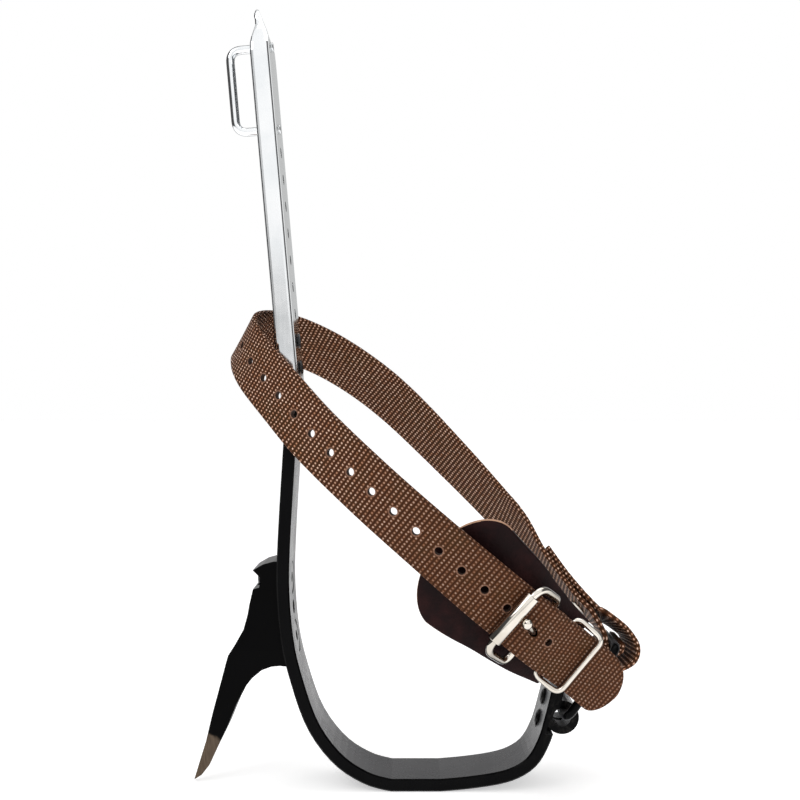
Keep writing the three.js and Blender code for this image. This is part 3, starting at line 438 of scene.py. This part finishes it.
def sweep(name, centres, radii, sides=20, closed=False):
    """A round wire along a list of places."""
    centres = np.array(centres, float)
    count = len(centres)
    radii = np.broadcast_to(radii, count)
    if closed:
        along = unit(np.roll(centres, -1, 0) - np.roll(centres, 1, 0))
    else:
        along = unit(np.gradient(centres, axis=0))
    side = np.cross(along[0], [0.31, 0.17, 0.93])
    vertices = []
    for i in range(count):
        side = unit(side - along[i] * np.dot(side, along[i]))
        other = np.cross(along[i], side)
        for k in range(sides):
            a = 2 * math.pi * k / sides
            vertices.append(centres[i] + (side * math.cos(a) + other * math.sin(a)) * radii[i])
    faces = []
    turns = count if closed else count - 1
    offset = 0
    if closed:
        first = unit(vertices[0] - centres[0])
        others = np.array([unit(vertices[(count - 1) * sides + k] - centres[-1]) for k in range(sides)])
        offset = int(np.argmax(others @ first))
    for i in range(turns):
        n = (i + 1) % count
        shift = offset if closed and n == 0 else 0
        for k in range(sides):
            m = (k + 1) % sides
            a, b = i * sides + (k + shift) % sides, i * sides + (m + shift) % sides
            faces.append((a, b, n * sides + m, n * sides + k))
    if not closed:
        faces.append(tuple(reversed(range(sides))))
        faces.append(tuple(range((count - 1) * sides, count * sides)))
    return new_object(name, vertices, faces)


def rounded(points, corners, closed, steps=9):
    """A polyline with its corners turned into soft bends, each with its own reach."""
    points = [np.asarray(p, float) for p in points]
    path = []
    for i, point in enumerate(points):
        if not closed and i in (0, len(points) - 1):
            path.append(point)
            continue
        before = unit(points[i - 1] - point)
        after = unit(points[(i + 1) % len(points)] - point)
        start, stop = point + before * corners[i], point + after * corners[i]
        for k in range(steps + 1):
            t = k / steps
            path.append((1 - t) ** 2 * start + 2 * t * (1 - t) * point + t * t * stop)
    return path


def filled(path, closed, step=3.0):
    """The path with places added wherever two lie further apart than the step."""
    result = []
    pairs = len(path) if closed else len(path) - 1
    for i in range(pairs):
        a, b = path[i], path[(i + 1) % len(path)]
        count = max(1, int(np.linalg.norm(b - a) / step))
        result += [a + (b - a) * k / count for k in range(count)]
    if not closed:
        result.append(path[-1])
    return result


def wire_frame(name, corners, rounds, diameter):
    """A closed loop of wire with rounded corners, a hair inside its CAD wire."""
    path = filled(rounded(corners, rounds, True), True)
    return sweep(name, path, diameter / 2 - WIRE_INSET, WIRE_SIDES, True)


def lathe(name, profile, origin, axis, side, sides=40, closed=True):
    """Turns (distance along the axis, radius) pairs round the axis."""
    other = np.cross(axis, side)
    vertices = []
    for x, r in profile:
        for k in range(sides):
            a = 2 * math.pi * k / sides
            vertices.append(origin + axis * x + (side * math.cos(a) + other * math.sin(a)) * r)
    rows = len(profile)
    faces = []
    for i in range(rows if closed else rows - 1):
        n = (i + 1) % rows
        for k in range(sides):
            m = (k + 1) % sides
            faces.append((i * sides + k, n * sides + k, n * sides + m, i * sides + m))
    return new_object(name, vertices, faces)


# ------------------------------------------------------------------ node materials
class Nodes:
    """A small helper that writes shader nodes."""

    def __init__(self, name):
        self.material = bpy.data.materials.new(name)
        self.material.use_nodes = True
        self.tree = self.material.node_tree
        self.shader = self.tree.nodes["Principled BSDF"]

    def node(self, kind, **inputs):
        node = self.tree.nodes.new(kind)
        for key, value in inputs.items():
            self.feed(node, key, value)
        return node

    def feed(self, node, key, value):
        socket = node.inputs[int(key[1:])] if key[0] == "i" and key[1:].isdigit() else node.inputs[key]
        if isinstance(value, bpy.types.NodeSocket):
            self.tree.links.new(value, socket)
        else:
            socket.default_value = value

    def math(self, operation, a, b=0.0, c=0.0):
        node = self.node("ShaderNodeMath", i0=a, i1=b, i2=c)
        node.operation = operation
        return node.outputs[0]

    def smooth(self, value, low, high, to_low=0.0, to_high=1.0):
        node = self.node("ShaderNodeMapRange")
        node.interpolation_type = "SMOOTHSTEP"
        keys = ("Value", "From Min", "From Max", "To Min", "To Max")
        for key, v in zip(keys, (value, low, high, to_low, to_high)):
            self.feed(node, key, v)
        return node.outputs[0]

    def mix(self, factor, a, b, blend="MIX"):
        node = self.node("ShaderNodeMix")
        node.data_type = "RGBA"
        node.blend_type = blend
        self.feed(node, "i0", factor)
        self.feed(node, "i6", a)
        self.feed(node, "i7", b)
        return node.outputs[2]

    def noise(self, vector, scale, detail=3.0, rough=0.55):
        node = self.node("ShaderNodeTexNoise", Vector=vector, Scale=scale, Detail=detail, Roughness=rough)
        return node.outputs["Fac"]

    def place(self):
        return self.node("ShaderNodeTexCoord").outputs["Object"]

    def stretched(self, vectors, factors, detail):
        """Noise drawn out into streaks: each axis is scaled by its own factor."""
        scaled = [self.math("MULTIPLY", v, f) for v, f in zip(vectors, factors)]
        return self.noise(self.join(*scaled), 1.0, detail)

    def split(self, vector):
        return self.node("ShaderNodeSeparateXYZ", Vector=vector).outputs

    def join(self, x, y, z=0.0):
        return self.node("ShaderNodeCombineXYZ", X=x, Y=y, Z=z).outputs[0]

    def bump(self, height, distance, strength=1.0, under=None):
        node = self.node("ShaderNodeBump", Height=height, Distance=distance, Strength=strength)
        if under is not None:
            self.feed(node, "Normal", under)
        return node.outputs[0]

    def finish(self, color, roughness, normal=None, **constants):
        self.feed(self.shader, "Base Color", color)
        self.feed(self.shader, "Roughness", roughness)
        if normal is not None:
            self.feed(self.shader, "Normal", normal)
        for key, value in constants.items():
            self.feed(self.shader, key.replace("_", " "), value)
        return self.material


def rgb(r, g, b):
    """A screen colour, 0 to 255, as a linear one."""
    def linear(c):
        c /= 255
        return c / 12.92 if c <= 0.04045 else ((c + 0.055) / 1.055) ** 2.4
    return (linear(r), linear(g), linear(b), 1.0)


ROW_PITCH = 2.25  # mm between rows of raised threads, along the strap
DOT_PITCH = 1.62  # mm between raised threads in a row


def webbing_material(name, holes):
    """Stiff webbing: a brown ground with staggered rows of raised tan threads."""
    n = Nodes(name)
    uv = n.node("ShaderNodeUVMap")
    uv.uv_map = "weave"
    u, v, _ = n.split(uv.outputs[0])
    u, v = n.math("MULTIPLY", u, 10.0), n.math("MULTIPLY", v, 10.0)
    wander = n.noise(n.join(u, v), 0.35, 2.0)
    ripple = n.math("MULTIPLY", n.math("SUBTRACT", wander, 0.5), 0.7)
    rows = n.math("DIVIDE", n.math("ADD", u, ripple), ROW_PITCH)
    row = n.math("FLOOR", rows)
    in_row = n.math("SUBTRACT", n.math("SUBTRACT", rows, row), 0.5)
    odd = n.math("MULTIPLY", n.math("PINGPONG", row, 1.0), 0.5)
    cells = n.math("ADD", n.math("DIVIDE", v, DOT_PITCH), odd)
    cell = n.math("FLOOR", cells)
    in_cell = n.math("SUBTRACT", n.math("SUBTRACT", cells, cell), 0.5)
    across = n.math("POWER", n.math("ABSOLUTE", n.math("MULTIPLY", in_cell, DOT_PITCH / 0.5)), 2.0)
    along = n.math("POWER", n.math("ABSOLUTE", n.math("MULTIPLY", in_row, ROW_PITCH / 0.56)), 2.0)
    reach = n.math("ADD", across, along)
    chance = n.node("ShaderNodeTexWhiteNoise", Vector=n.join(row, cell, 3.0)).outputs["Value"]
    dot = n.smooth(reach, 1.15, 0.25)
    # brown threads between the raised ones, with a furrow each side of a row that is darkened with painted
    # shade
    furrow = n.smooth(n.math("ABSOLUTE", in_row), 0.26, 0.5)
    thread = n.math("SINE", n.math("MULTIPLY", cells, 4 * math.pi))
    fine = n.noise(n.join(n.math("MULTIPLY", u, 2.0), n.math("MULTIPLY", v, 6.0)), 1.0, 4.0, 0.7)
    patch = n.noise(n.join(u, v), 0.06, 3.0)
    ground = n.mix(fine, rgb(60, 32, 15), rgb(104, 62, 36))
    # painted shade: the ground colour is darkened towards near-black in the furrows
    ground = n.mix(n.math("MULTIPLY", furrow, 0.72), ground, rgb(34, 14, 4))
    ground = n.mix(n.smooth(patch, 0.42, 0.75, 0.0, 0.35), ground, rgb(66, 46, 20))
    tan = n.mix(chance, rgb(194, 140, 108), rgb(252, 214, 190))
    shown = n.math("MULTIPLY", dot, n.smooth(fine, 0.2, 0.55, 0.72, 1.0))
    # painted light: the raised threads are painted brightest where the strap turns round the leg iron and
    # the light glances across it, and dimmer towards the buckle and the tail
    painted_glancing_light = n.smooth(u, first_hole + 40, first_hole + 175, 1.0, 0.36)
    color = n.mix(n.math("MULTIPLY", shown, painted_glancing_light), ground, tan)
    # darker beside the two woven edges
    beside = n.math("ABSOLUTE", n.math("SUBTRACT", n.math("ABSOLUTE", v), STRAP_WIDTH / 2 - 0.9))
    color = n.mix(n.smooth(beside, 0.5, 0.0, 0.0, 0.5), color, rgb(36, 22, 17))
    height = n.math("ADD", dot, n.math("MULTIPLY", furrow, -0.8))
    height = n.math("ADD", height, n.math("MULTIPLY", thread, 0.12))
    if holes:
        from_first = n.math("SUBTRACT", u, first_hole)
        nearest = n.math("ROUND", n.math("DIVIDE", from_first, STRAP_PITCH))
        nearest = n.math("MINIMUM", n.math("MAXIMUM", nearest, 0.0), STRAP_HOLES - 1.0)
        off = n.math("SUBTRACT", from_first, n.math("MULTIPLY", nearest, STRAP_PITCH))
        from_hole = n.math("SQRT", n.math("ADD", n.math("POWER", n.math("ABSOLUTE", off), 2.0),
                                          n.math("POWER", n.math("ABSOLUTE", v), 2.0)))
        rim = n.smooth(from_hole, STRAP_HOLE / 2 + 0.95, STRAP_HOLE / 2 + 0.35)
        color = n.mix(n.math("MULTIPLY", rim, 0.65), color, rgb(150, 112, 92))
        height = n.math("ADD", height, n.math("MULTIPLY", rim, 0.9))
    under = n.bump(fine, 0.00012, 0.5)
    normal = n.bump(height, 0.00028, 0.9, under)
    rough = n.smooth(dot, 0.0, 1.0, 0.62, 0.44)
    return n.finish(color, rough, normal, Specular_IOR_Level=0.12)


def cut_webbing_material():
    n = Nodes("webbing_cut")
    fibre = n.noise(n.place(), 1800.0, 4.0, 0.7)
    color = n.mix(fibre, rgb(28, 17, 13), rgb(78, 52, 38))
    return n.finish(color, 0.8, n.bump(fibre, 0.0002, 0.6))


def leather_material():
    n = Nodes("leather")
    place = n.place()
    pores = n.node("ShaderNodeTexVoronoi", Vector=place, Scale=900.0).outputs["Distance"]
    crease = n.noise(place, 90.0, 5.0, 0.6)
    grain = n.noise(place, 1500.0, 3.0, 0.6)
    color = n.mix(n.smooth(crease, 0.35, 0.72), rgb(22, 7, 8), rgb(42, 19, 19))
    color = n.mix(n.smooth(pores, 0.25, 0.0, 0.0, 0.4), color, rgb(10, 3, 4))
    height = n.math("ADD", n.math("MULTIPLY", pores, 0.7), n.math("MULTIPLY", grain, 0.3))
    normal = n.bump(height, 0.00022, 0.6, n.bump(crease, 0.0006, 0.35))
    rough = n.smooth(crease, 0.3, 0.7, 0.42, 0.58)
    return n.finish(color, rough, normal, Specular_IOR_Level=0.1)


def leather_edge_material():
    n = Nodes("leather_edge")
    place = n.place()
    fibre = n.noise(place, 700.0, 5.0, 0.7)
    blotch = n.noise(place, 60.0, 3.0)
    color = n.mix(fibre, rgb(158, 108, 78), rgb(222, 180, 148))
    color = n.mix(n.smooth(blotch, 0.5, 0.75, 0.0, 0.6), color, rgb(90, 56, 42))
    return n.finish(color, 0.7, n.bump(fibre, 0.0003, 0.6))


def steel_material(name, base, light, metallic, rough_low, rough_high, grain=1.0, wear=0.0,
                   wear_color=None, specular=0.5, painted_grazing_tone=None):
    """Metal with a cloudy finish, fine scratches and, where asked, worn edges and
    a painted grazing tone where the surface turns away from view."""
    n = Nodes(name)
    place = n.place()
    cloud = n.noise(place, 45.0, 4.0, 0.6)
    x, y, z = n.split(place)
    streak = n.stretched((x, y, z), (900.0, 900.0, 60.0), 3.0)
    speck = n.noise(place, 2400.0, 2.0)
    color = n.mix(n.smooth(cloud, 0.3, 0.7), base, light)
    mottled = n.math("ADD", n.math("MULTIPLY", cloud, 0.6), n.math("MULTIPLY", streak, 0.4))
    rough = n.smooth(mottled, 0.35, 0.65, rough_low, rough_high)
    if wear:
        edge = n.node("ShaderNodeNewGeometry").outputs["Pointiness"]
        chips = n.noise(place, 260.0, 5.0, 0.7)
        worn = n.math("MULTIPLY", n.smooth(edge, 0.53, 0.6), n.smooth(chips, 0.45, 0.62))
        color = n.mix(n.math("MULTIPLY", worn, wear), color, wear_color)
    # painted light: a colour mixed in where the surface turns away from view, a painted sheen on the black
    # steel and a painted dark reflection round the edges of zinc and nickel
    if painted_grazing_tone:
        tone, low, high = painted_grazing_tone
        painted_tone_facing = n.node("ShaderNodeLayerWeight", Blend=0.5).outputs["Facing"]
        color = n.mix(n.smooth(painted_tone_facing, low, high), color, tone)
    height = n.math("ADD", n.math("MULTIPLY", speck, 0.5), n.math("MULTIPLY", streak, 0.5))
    normal = n.bump(height, 0.00006 * grain, 0.5)
    return n.finish(color, rough, normal, Metallic=metallic, Specular_IOR_Level=specular)


def gaff_material():
    """The gaff: black down to a slanting line, bare ground steel below it."""
    n = Nodes("gaff_steel")
    place = n.place()
    x, _, z = n.split(place)
    slant = n.math("ADD", n.math("MULTIPLY", x, 0.73), z)
    ragged = n.math("MULTIPLY", n.math("SUBTRACT", n.noise(place, 220.0, 4.0), 0.5), 0.004)
    bare = n.smooth(n.math("ADD", slant, ragged), BARE_LEVEL + 0.0012, BARE_LEVEL - 0.0012)
    streak = n.stretched((x, x, z), (1200.0, 300.0, 140.0), 4.0)
    cloud = n.noise(place, 60.0, 4.0)
    paint = n.mix(cloud, rgb(1, 1, 1), rgb(4, 4, 5))
    steel = n.mix(streak, rgb(60, 50, 42), rgb(112, 98, 84))
    color = n.mix(bare, paint, steel)
    rough = n.smooth(bare, 0.0, 1.0, 0.3, 0.42)
    metallic = n.smooth(bare, 0.0, 1.0, 0.0, 0.9)
    normal = n.bump(streak, 0.00008, 0.4)
    return n.finish(color, rough, normal, Metallic=metallic, Specular_IOR_Level=0.04)


BARE_LEVEL = -0.0555

# the grazing tones below are painted light: a lighter painted sheen on the black steel, darker painted
# reflections on zinc, zinc wire and nickel
black = steel_material("black_steel", rgb(1, 1, 2), rgb(6, 6, 7), 0.0, 0.2, 0.32,
                       wear=0.3, wear_color=rgb(60, 57, 54), specular=0.06,
                       painted_grazing_tone=(rgb(88, 88, 90), 0.45, 0.82))
zinc = steel_material("zinc_steel", rgb(240, 243, 245), rgb(253, 254, 255), 1.0, 0.09, 0.15, grain=0.5,
                      painted_grazing_tone=(rgb(158, 164, 164), 0.55, 0.95))
zinc_wire = steel_material("zinc_wire", rgb(240, 243, 245), rgb(253, 254, 255), 1.0, 0.09, 0.15, grain=0.5,
                           painted_grazing_tone=(rgb(72, 76, 76), 0.35, 0.8))
nickel = steel_material("nickel_plate", rgb(208, 200, 188), rgb(234, 228, 218), 1.0, 0.05, 0.1, grain=0.2,
                        painted_grazing_tone=(rgb(56, 48, 40), 0.32, 0.78))
screws = steel_material("screw_steel", rgb(10, 10, 12), rgb(26, 26, 28), 0.0, 0.22, 0.34, specular=0.3)
webbing = webbing_material("webbing", True)
webbing_short = webbing_material("webbing_short", False)
webbing_cut = cut_webbing_material()
leather = leather_material()
leather_edge = leather_edge_material()
gaff_steel = gaff_material()


def paint(obj, *materials):
    obj.data.materials.clear()
    for material in materials:
        obj.data.materials.append(material)


# ------------------------------------------------------------------ CAD nodes kept
CAD_FINISH = {
    "stirrup_shank": black, "gaff": gaff_steel, "hook_plate": black,
    "hook_plate_rivet_upper": black, "hook_plate_rivet_lower": black,
    "gaff_screw_upper": screws, "gaff_screw_lower": screws, "gaff_dowel_pin": screws,
    "leg_iron": zinc, "clamp_screw_upper": screws, "clamp_screw_lower": screws,
    "clamp_nut_plate": black, "buckle_rivet_near": nickel, "buckle_rivet_far": nickel,
    "strap_rivet_upper": nickel, "strap_rivet_lower": nickel,
    "strap_rivet_burr_upper": nickel, "strap_rivet_burr_lower": nickel,
}
for name, material in CAD_FINISH.items():
    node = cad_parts[name]
    paint(node, material)
    smooth_by_angle(node, 60 if name == "leg_iron" else 32)

# ------------------------------------------------------------------ ankle strap
places = []
for start, stop, step in (
    (0, 34, 0.9), (34, first_hole - 40, 3.0), (first_hole - 40, first_hole + 20, 1.6),
    (first_hole + 20, roller_place - 16, 3.0), (roller_place - 16, heel_place + KEEPER_PLACE, 1.2),
    (heel_place + KEEPER_PLACE, strap_route.length - TIP_ROUND[1], 3.0),
    (strap_route.length - TIP_ROUND[1], strap_route.length, 0.6),
):
    count = math.ceil((stop - start) / step)
    places += [start + (stop - start) * k / count for k in range(count)]
places.append(strap_route.length)
strap = band("ankle_webbing", strap_route, places, strap_half, STRAP_THICKNESS, strap_lift,
             strap_shift, radius=0.9)

HOLE_SIDES = 28
rods = []
for i in range(STRAP_HOLES):
    if i == TONGUE_HOLE:
        continue
    point, along, across, out = (a[0] for a in strap_route.at(first_hole + i * STRAP_PITCH))
    rods.append((rod_vertices(point, out, along, STRAP_HOLE / 2, 12, HOLE_SIDES), HOLE_SIDES))


def bore_at(route, distance, radius, length, side=0.0):
    point, along, across, out = (a[0] for a in route.at(distance))
    return (rod_vertices(point + across * side, out, along, radius, length, HOLE_SIDES), HOLE_SIDES)


for place in (doubled_from - 9, doubled_to + 4):
    rods.append(bore_at(strap_route, place, 1.7 + GAP, 6))
strap_tool = cutter(rods)
paint(strap, webbing, webbing_cut)
paint(strap_tool, webbing_cut)
cut(strap, strap_tool)

# the slot that the tongue comes up through
PRONG_START = np.array([heel_x - 1.2, 0, 3.0])
PRONG_BEND = np.array([heel_x - 5.5, 0.6, 5.2])
TONGUE_TIP = np.array([3.7, 2.4, 4.9])


def prong_path(steps):
    t = np.linspace(0, 1, steps)[:, None]
    local = (1 - t) ** 2 * PRONG_START + 2 * t * (1 - t) * PRONG_BEND + t * t * TONGUE_TIP
    return [in_buckle(*p) for p in local]


prong_tool = sweep("prong_tool", prong_path(12), 2.0, 20)
layer = prong_tool.data.uv_layers.new(name="weave")
layer.data.foreach_set("uv", np.full(2 * len(prong_tool.data.loops), -50.0))
paint(prong_tool, webbing_cut)
cut(strap, prong_tool)
smooth_by_angle(strap, 50)
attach(strap, "strap")
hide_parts("ankle_strap")

# ------------------------------------------------------------------ buckle strap
chape_places = list(np.linspace(0, chape_route.length, math.ceil(chape_route.length / 1.1) + 1))
chape = band("buckle_webbing", chape_route, chape_places, lambda d: STRAP_WIDTH / 2,
             CHAPE_THICKNESS, lambda d: 0.0, radius=0.85)
paint(chape, webbing_short, webbing_cut)
rods = [bore_at(strap_route, place, 1.7 + GAP, 16) for place in (doubled_from - 9, doubled_to + 4)]
chape_tool = cutter(rods)
paint(chape_tool, webbing_cut)
cut(chape, chape_tool)
slot_low, slot_high = (-10, -2.2, -9), (5, 2.2, 9)
heel_along, heel_across, heel_out = (a[0] for a in strap_route.at(heel_place)[1:])
corners = [
    heel_centre + heel_along * x + heel_across * y + heel_out * z
    for x in (slot_low[0], slot_high[0]) for y in (slot_low[1], slot_high[1])
    for z in (slot_low[2], slot_high[2])
]
slot_tool = new_object("slot_tool", corners, [
    (0, 1, 3, 2), (4, 6, 7, 5), (0, 4, 5, 1), (2, 3, 7, 6), (0, 2, 6, 4), (1, 5, 7, 3),
], smooth=False)
layer = slot_tool.data.uv_layers.new(name="weave")
layer.data.foreach_set("uv", np.full(2 * len(slot_tool.data.loops), -50.0))
paint(slot_tool, webbing_cut)
cut(chape, slot_tool)
smooth_by_angle(chape, 50)
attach(chape, "strap")
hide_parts("buckle_strap")

# ------------------------------------------------------------------ leather pad
PAD_THICKNESS = 4.0
PAD_HALF = 30.0
PAD_END_HALF = 19.4
PAD_ROUND = 20.0
pad_from, pad_to = roller_place - 45.3, heel_place + 26.5
pad_face = -RETURN_DROP - CHAPE_THICKNESS / 2 - GAP - 0.3
pad_lift = pad_face - PAD_THICKNESS / 2


def pad_half(d):
    from_end = d - pad_from
    if from_end < PAD_ROUND:
        return PAD_HALF * math.sqrt(max(1 - (1 - from_end / PAD_ROUND) ** 2, 0.01))
    t = (from_end - PAD_ROUND) / (pad_to - pad_from - PAD_ROUND)
    return PAD_HALF - (PAD_HALF - PAD_END_HALF) * t


def pad_shift(d):
    t = min(max((roller_place - d + 8) / 32, 0), 1)
    return -1 - 2.2 * t * t * (3 - 2 * t)


near_end = [pad_from + PAD_ROUND * (1 - math.cos(a)) for a in np.linspace(0, math.pi / 2, 22)]
rest = list(np.linspace(pad_from + PAD_ROUND, pad_to, 46)[1:])
pad = band("leather_pad", strap_route, near_end + rest, pad_half, PAD_THICKNESS - 0.3,
           lambda d: pad_lift, pad_shift, radius=1.2, crown=lambda s: 0.15 * (1 - s * s))
paint(pad, leather, leather_edge)
# The cut edge is pale round the broad end; along the sides it is burnished dark.
CUT_EDGE = 0.55
PALE_REACH = (34.0, 20.0)  # along the lower and the upper side
pad_places = np.array(near_end + rest)
pad_middle, _, pad_across, pad_out = strap_route.at(pad_places)
for polygon in pad.data.polygons:
    centre = np.array(polygon.center) / MM
    i = int(np.argmin(np.linalg.norm(pad_middle + pad_out * pad_lift - centre, axis=1)))
    face_out = abs(float(np.dot(np.array(polygon.normal), pad_out[i])))
    upper = np.dot(centre - pad_middle[i], pad_across[i]) > 0
    pale = face_out < CUT_EDGE and pad_places[i] - pad_from < PALE_REACH[int(upper)]
    polygon.material_index = 1 if pale else 0
smooth_by_angle(pad, 50)
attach(pad, "strap")
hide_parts("buckle_pad")

# ------------------------------------------------------------------ wires and buckle
ring_corners = [
    centre + np.array([0, side * RING_WIDTH / 2, 0])
    for centre, side in ((RING_HINGE, -1), (far_bar, -1), (far_bar, 1), (RING_HINGE, 1))
]
ring = wire_frame("ring_wire", ring_corners, [6.5] * 4, RING_WIRE)
paint(ring, black)
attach(ring, "strap")
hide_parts("strap_ring")

FRAME_HALF = (FRAME_WIDTH - FRAME_WIRE) / 2
frame_corners = [
    in_buckle(x, side * FRAME_HALF, 0)
    for x, side in ((0, -1), (heel_x, -1), (heel_x, 1), (0, 1))
]
buckle = wire_frame("buckle_wire", frame_corners, [7, 4, 4, 7], FRAME_WIRE)
paint(buckle, nickel)
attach(buckle, "strap")
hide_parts("buckle_frame")

ROLLER_HALF, ROLLER_BORE, LIP = 13.3, FRAME_WIRE / 2 + GAP, 0.3
roller_profile = [
    (-ROLLER_HALF, ROLLER_BORE), (-ROLLER_HALF, ROLLER_RADIUS - LIP),
    (-ROLLER_HALF + LIP * 0.3, ROLLER_RADIUS - LIP * 0.3),
    (-ROLLER_HALF + LIP, ROLLER_RADIUS), (ROLLER_HALF - LIP, ROLLER_RADIUS),
    (ROLLER_HALF - LIP * 0.3, ROLLER_RADIUS - LIP * 0.3),
    (ROLLER_HALF, ROLLER_RADIUS - LIP), (ROLLER_HALF, ROLLER_BORE),
]
roller = lathe("roller_tube", roller_profile, roller_centre, across_buckle, to_heel)
smooth_by_angle(roller, 50)
paint(roller, nickel)
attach(roller, "roller")
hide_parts("buckle_roller")

path = prong_path(26)
ball = 2.5
tip_way = unit(path[-1] - path[-2])
tongue = sweep("tongue_prong", path, 1.5, 20)
tip_profile = [(-ball * math.cos(a), max(ball * math.sin(a), 0.02)) for a in np.linspace(0, math.pi, 20)]
tip_centre = in_buckle(*TONGUE_TIP)
tip = lathe("tongue_tip", tip_profile, tip_centre, tip_way, across_buckle, 28, closed=False)
eye_turn = [
    in_buckle(heel_x + 2.95 * math.cos(a), 0, 2.95 * math.sin(a))
    for a in np.linspace(math.radians(108), math.radians(108 + 330), 30)
]
eye = sweep("tongue_eye", eye_turn, 0.82, 14)
for obj in (tongue, tip, eye):
    paint(obj, nickel)
    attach(obj, "tongue")
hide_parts("buckle_tongue")

KEEPER_HALF = 16.5
over_tail = STRAP_THICKNESS / 2 + 0.5 + KEEPER_WIRE / 2
under_strap = stack + CHAPE_THICKNESS / 2 + KEEPER_CLEARANCE + KEEPER_WIRE / 2
keeper_corners = [
    on_strap(heel_place + 28, -KEEPER_HALF, over_tail), on_strap(heel_place + 28, KEEPER_HALF, over_tail),
    on_strap(heel_place + KEEPER_PLACE, KEEPER_HALF, -under_strap),
    on_strap(heel_place + KEEPER_PLACE, -KEEPER_HALF, -under_strap),
]
keeper = wire_frame("keeper_wire", keeper_corners, [4.5] * 4, KEEPER_WIRE)
paint(keeper, nickel)
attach(keeper, "keeper")
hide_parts("strap_keeper")

# ------------------------------------------------------------------ calf strap loop
iron_x = np.array([math.cos(IRON_LEAN), 0, math.sin(IRON_LEAN)])
iron_z = np.array([-math.sin(IRON_LEAN), 0, math.cos(IRON_LEAN)])


def in_iron(x, z):
    return IRON_FOOT + x * iron_x + z * iron_z


upper_leg = IRON_LENGTH - LOOP_TOP
lower_leg = upper_leg - LOOP_HEIGHT
leg_end = -IRON_SHEET - GAP
bar_line = -IRON_DEPTH - LOOP_REACH
loop_corners = [
    in_iron(leg_end, lower_leg), in_iron(bar_line, lower_leg),
    in_iron(bar_line, upper_leg), in_iron(leg_end, upper_leg),
]
loop_path = filled(rounded(loop_corners, [6] * 4, False), False)
loop = sweep("calf_loop_wire", loop_path, LOOP_WIRE / 2 - 0.02, 24)
loop_pieces = [loop]
for name, z in (("upper", upper_leg), ("lower", lower_leg)):
    stem = lathe("calf_loop_head_" + name, [
        (-0.3, 0.02), (-0.3, 1.5), (2, 1.5), (2, 2.3), (2.15, 2.4), (2.45, 2.25), (2.6, 1.8), (2.65, 0.02),
    ], in_iron(leg_end, z), iron_x, np.array([0.0, 1, 0]), 28, closed=False)
    loop_pieces.append(stem)
for obj in loop_pieces:
    smooth_by_angle(obj, 50)
    paint(obj, zinc_wire)
    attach(obj, "leg_iron")
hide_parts("calf_strap_loop")

# ------------------------------------------------------------------ stage
FLOOR = cad_box[0][2]
floor = new_object("floor", [
    [-4000, -3000, FLOOR / MM], [4000, -3000, FLOOR / MM],
    [4000, 9000, FLOOR / MM], [-4000, 9000, FLOOR / MM],
], [(0, 1, 2, 3)], smooth=False)
n = Nodes("floor")
grain = n.noise(n.place(), 3.0)
paint(floor, n.finish(n.mix(grain, (0.9, 0.9, 0.9, 1), (0.92, 0.92, 0.92, 1)), 0.9, Specular_IOR_Level=0.1,
                      Emission_Color=(1, 1, 1, 1), Emission_Strength=0.5))


def studio_world():
    """A white room. What the metal mirrors has a low grey strip in front of the
    object, a dark panel on either side and dark patches behind it; the background
    itself is plain white."""
    world = bpy.data.worlds.new("studio")
    bpy.context.scene.world = world
    world.use_nodes = True
    n = Nodes.__new__(Nodes)
    n.tree = world.node_tree
    way = n.node("ShaderNodeTexCoord").outputs["Generated"]
    x, y, z = n.split(way)
    height = n.math("DEGREES", n.math("ARCSINE", z))
    turn = n.math("DEGREES", n.math("ARCTAN2", x, n.math("MULTIPLY", y, -1.0)))

    def between(value, low, high, edge):
        rise = n.smooth(value, low - edge, low + edge)
        fall = n.smooth(value, high - edge, high + edge, 1.0, 0.0)
        return n.math("MULTIPLY", rise, fall)

    strip = n.math("MULTIPLY", between(height, 1.5, 6.5, 1.6), between(turn, -70.0, 70.0, 12.0))
    left = n.math("MULTIPLY", between(height, -14.0, 48.0, 8.0), between(turn, -135.0, -38.0, 8.0))
    right = n.math("MULTIPLY", between(height, -14.0, 48.0, 8.0), between(turn, 58.0, 135.0, 8.0))
    behind = n.smooth(n.math("ABSOLUTE", turn), 110.0, 130.0)
    above = n.math("MULTIPLY", between(height, 42.0, 76.0, 5.0), behind)
    low_right = n.math("MULTIPLY", between(height, -6.0, 34.0, 5.0), between(turn, 158.0, 190.0, 6.0))
    light = n.math("SUBTRACT", 1.0, n.math("MULTIPLY", strip, 0.42))
    for panel, depth in ((left, 0.93), (right, 0.88), (above, 0.85), (low_right, 0.3)):
        light = n.math("MULTIPLY", light, n.math("SUBTRACT", 1.0, n.math("MULTIPLY", panel, depth)))
    seen = n.node("ShaderNodeLightPath").outputs["Is Camera Ray"]
    light = n.math("MAXIMUM", light, seen)
    background = world.node_tree.nodes["Background"]
    n.feed(background, "Color", (1, 1, 1, 1))
    n.feed(background, "Strength", light)


studio_world()


def area(name, place, target, size, power):
    light = bpy.data.lights.new(name, "AREA")
    light.shape = "RECTANGLE"
    light.size, light.size_y = size
    light.energy = power
    obj = bpy.data.objects.new(name, light)
    obj.location = place
    way = Vector(target) - Vector(place)
    obj.rotation_euler = way.to_track_quat("-Z", "Y").to_euler()
    bpy.context.scene.collection.objects.link(obj)


area("key", (-0.7, -0.7, 1.0), (0, 0, 0.15), (0.5, 0.5), 2.5)
area("top", (0.2, 0.2, 1.3), (0, 0, 0.1), (0.9, 0.9), 3)

camera_data = bpy.data.cameras.new("camera")
camera_data.lens = 48.69
camera_data.sensor_width = 36
camera_data.clip_start = 0.01
camera_data.clip_end = 50
camera = bpy.data.objects.new("camera", camera_data)
camera.location = (-0.0078, -0.544, 0.1851)
camera.rotation_euler = (math.pi / 2, 0, 0)
bpy.context.scene.collection.objects.link(camera)
bpy.context.scene.camera = camera
bpy.context.scene.view_settings.view_transform = "Standard"
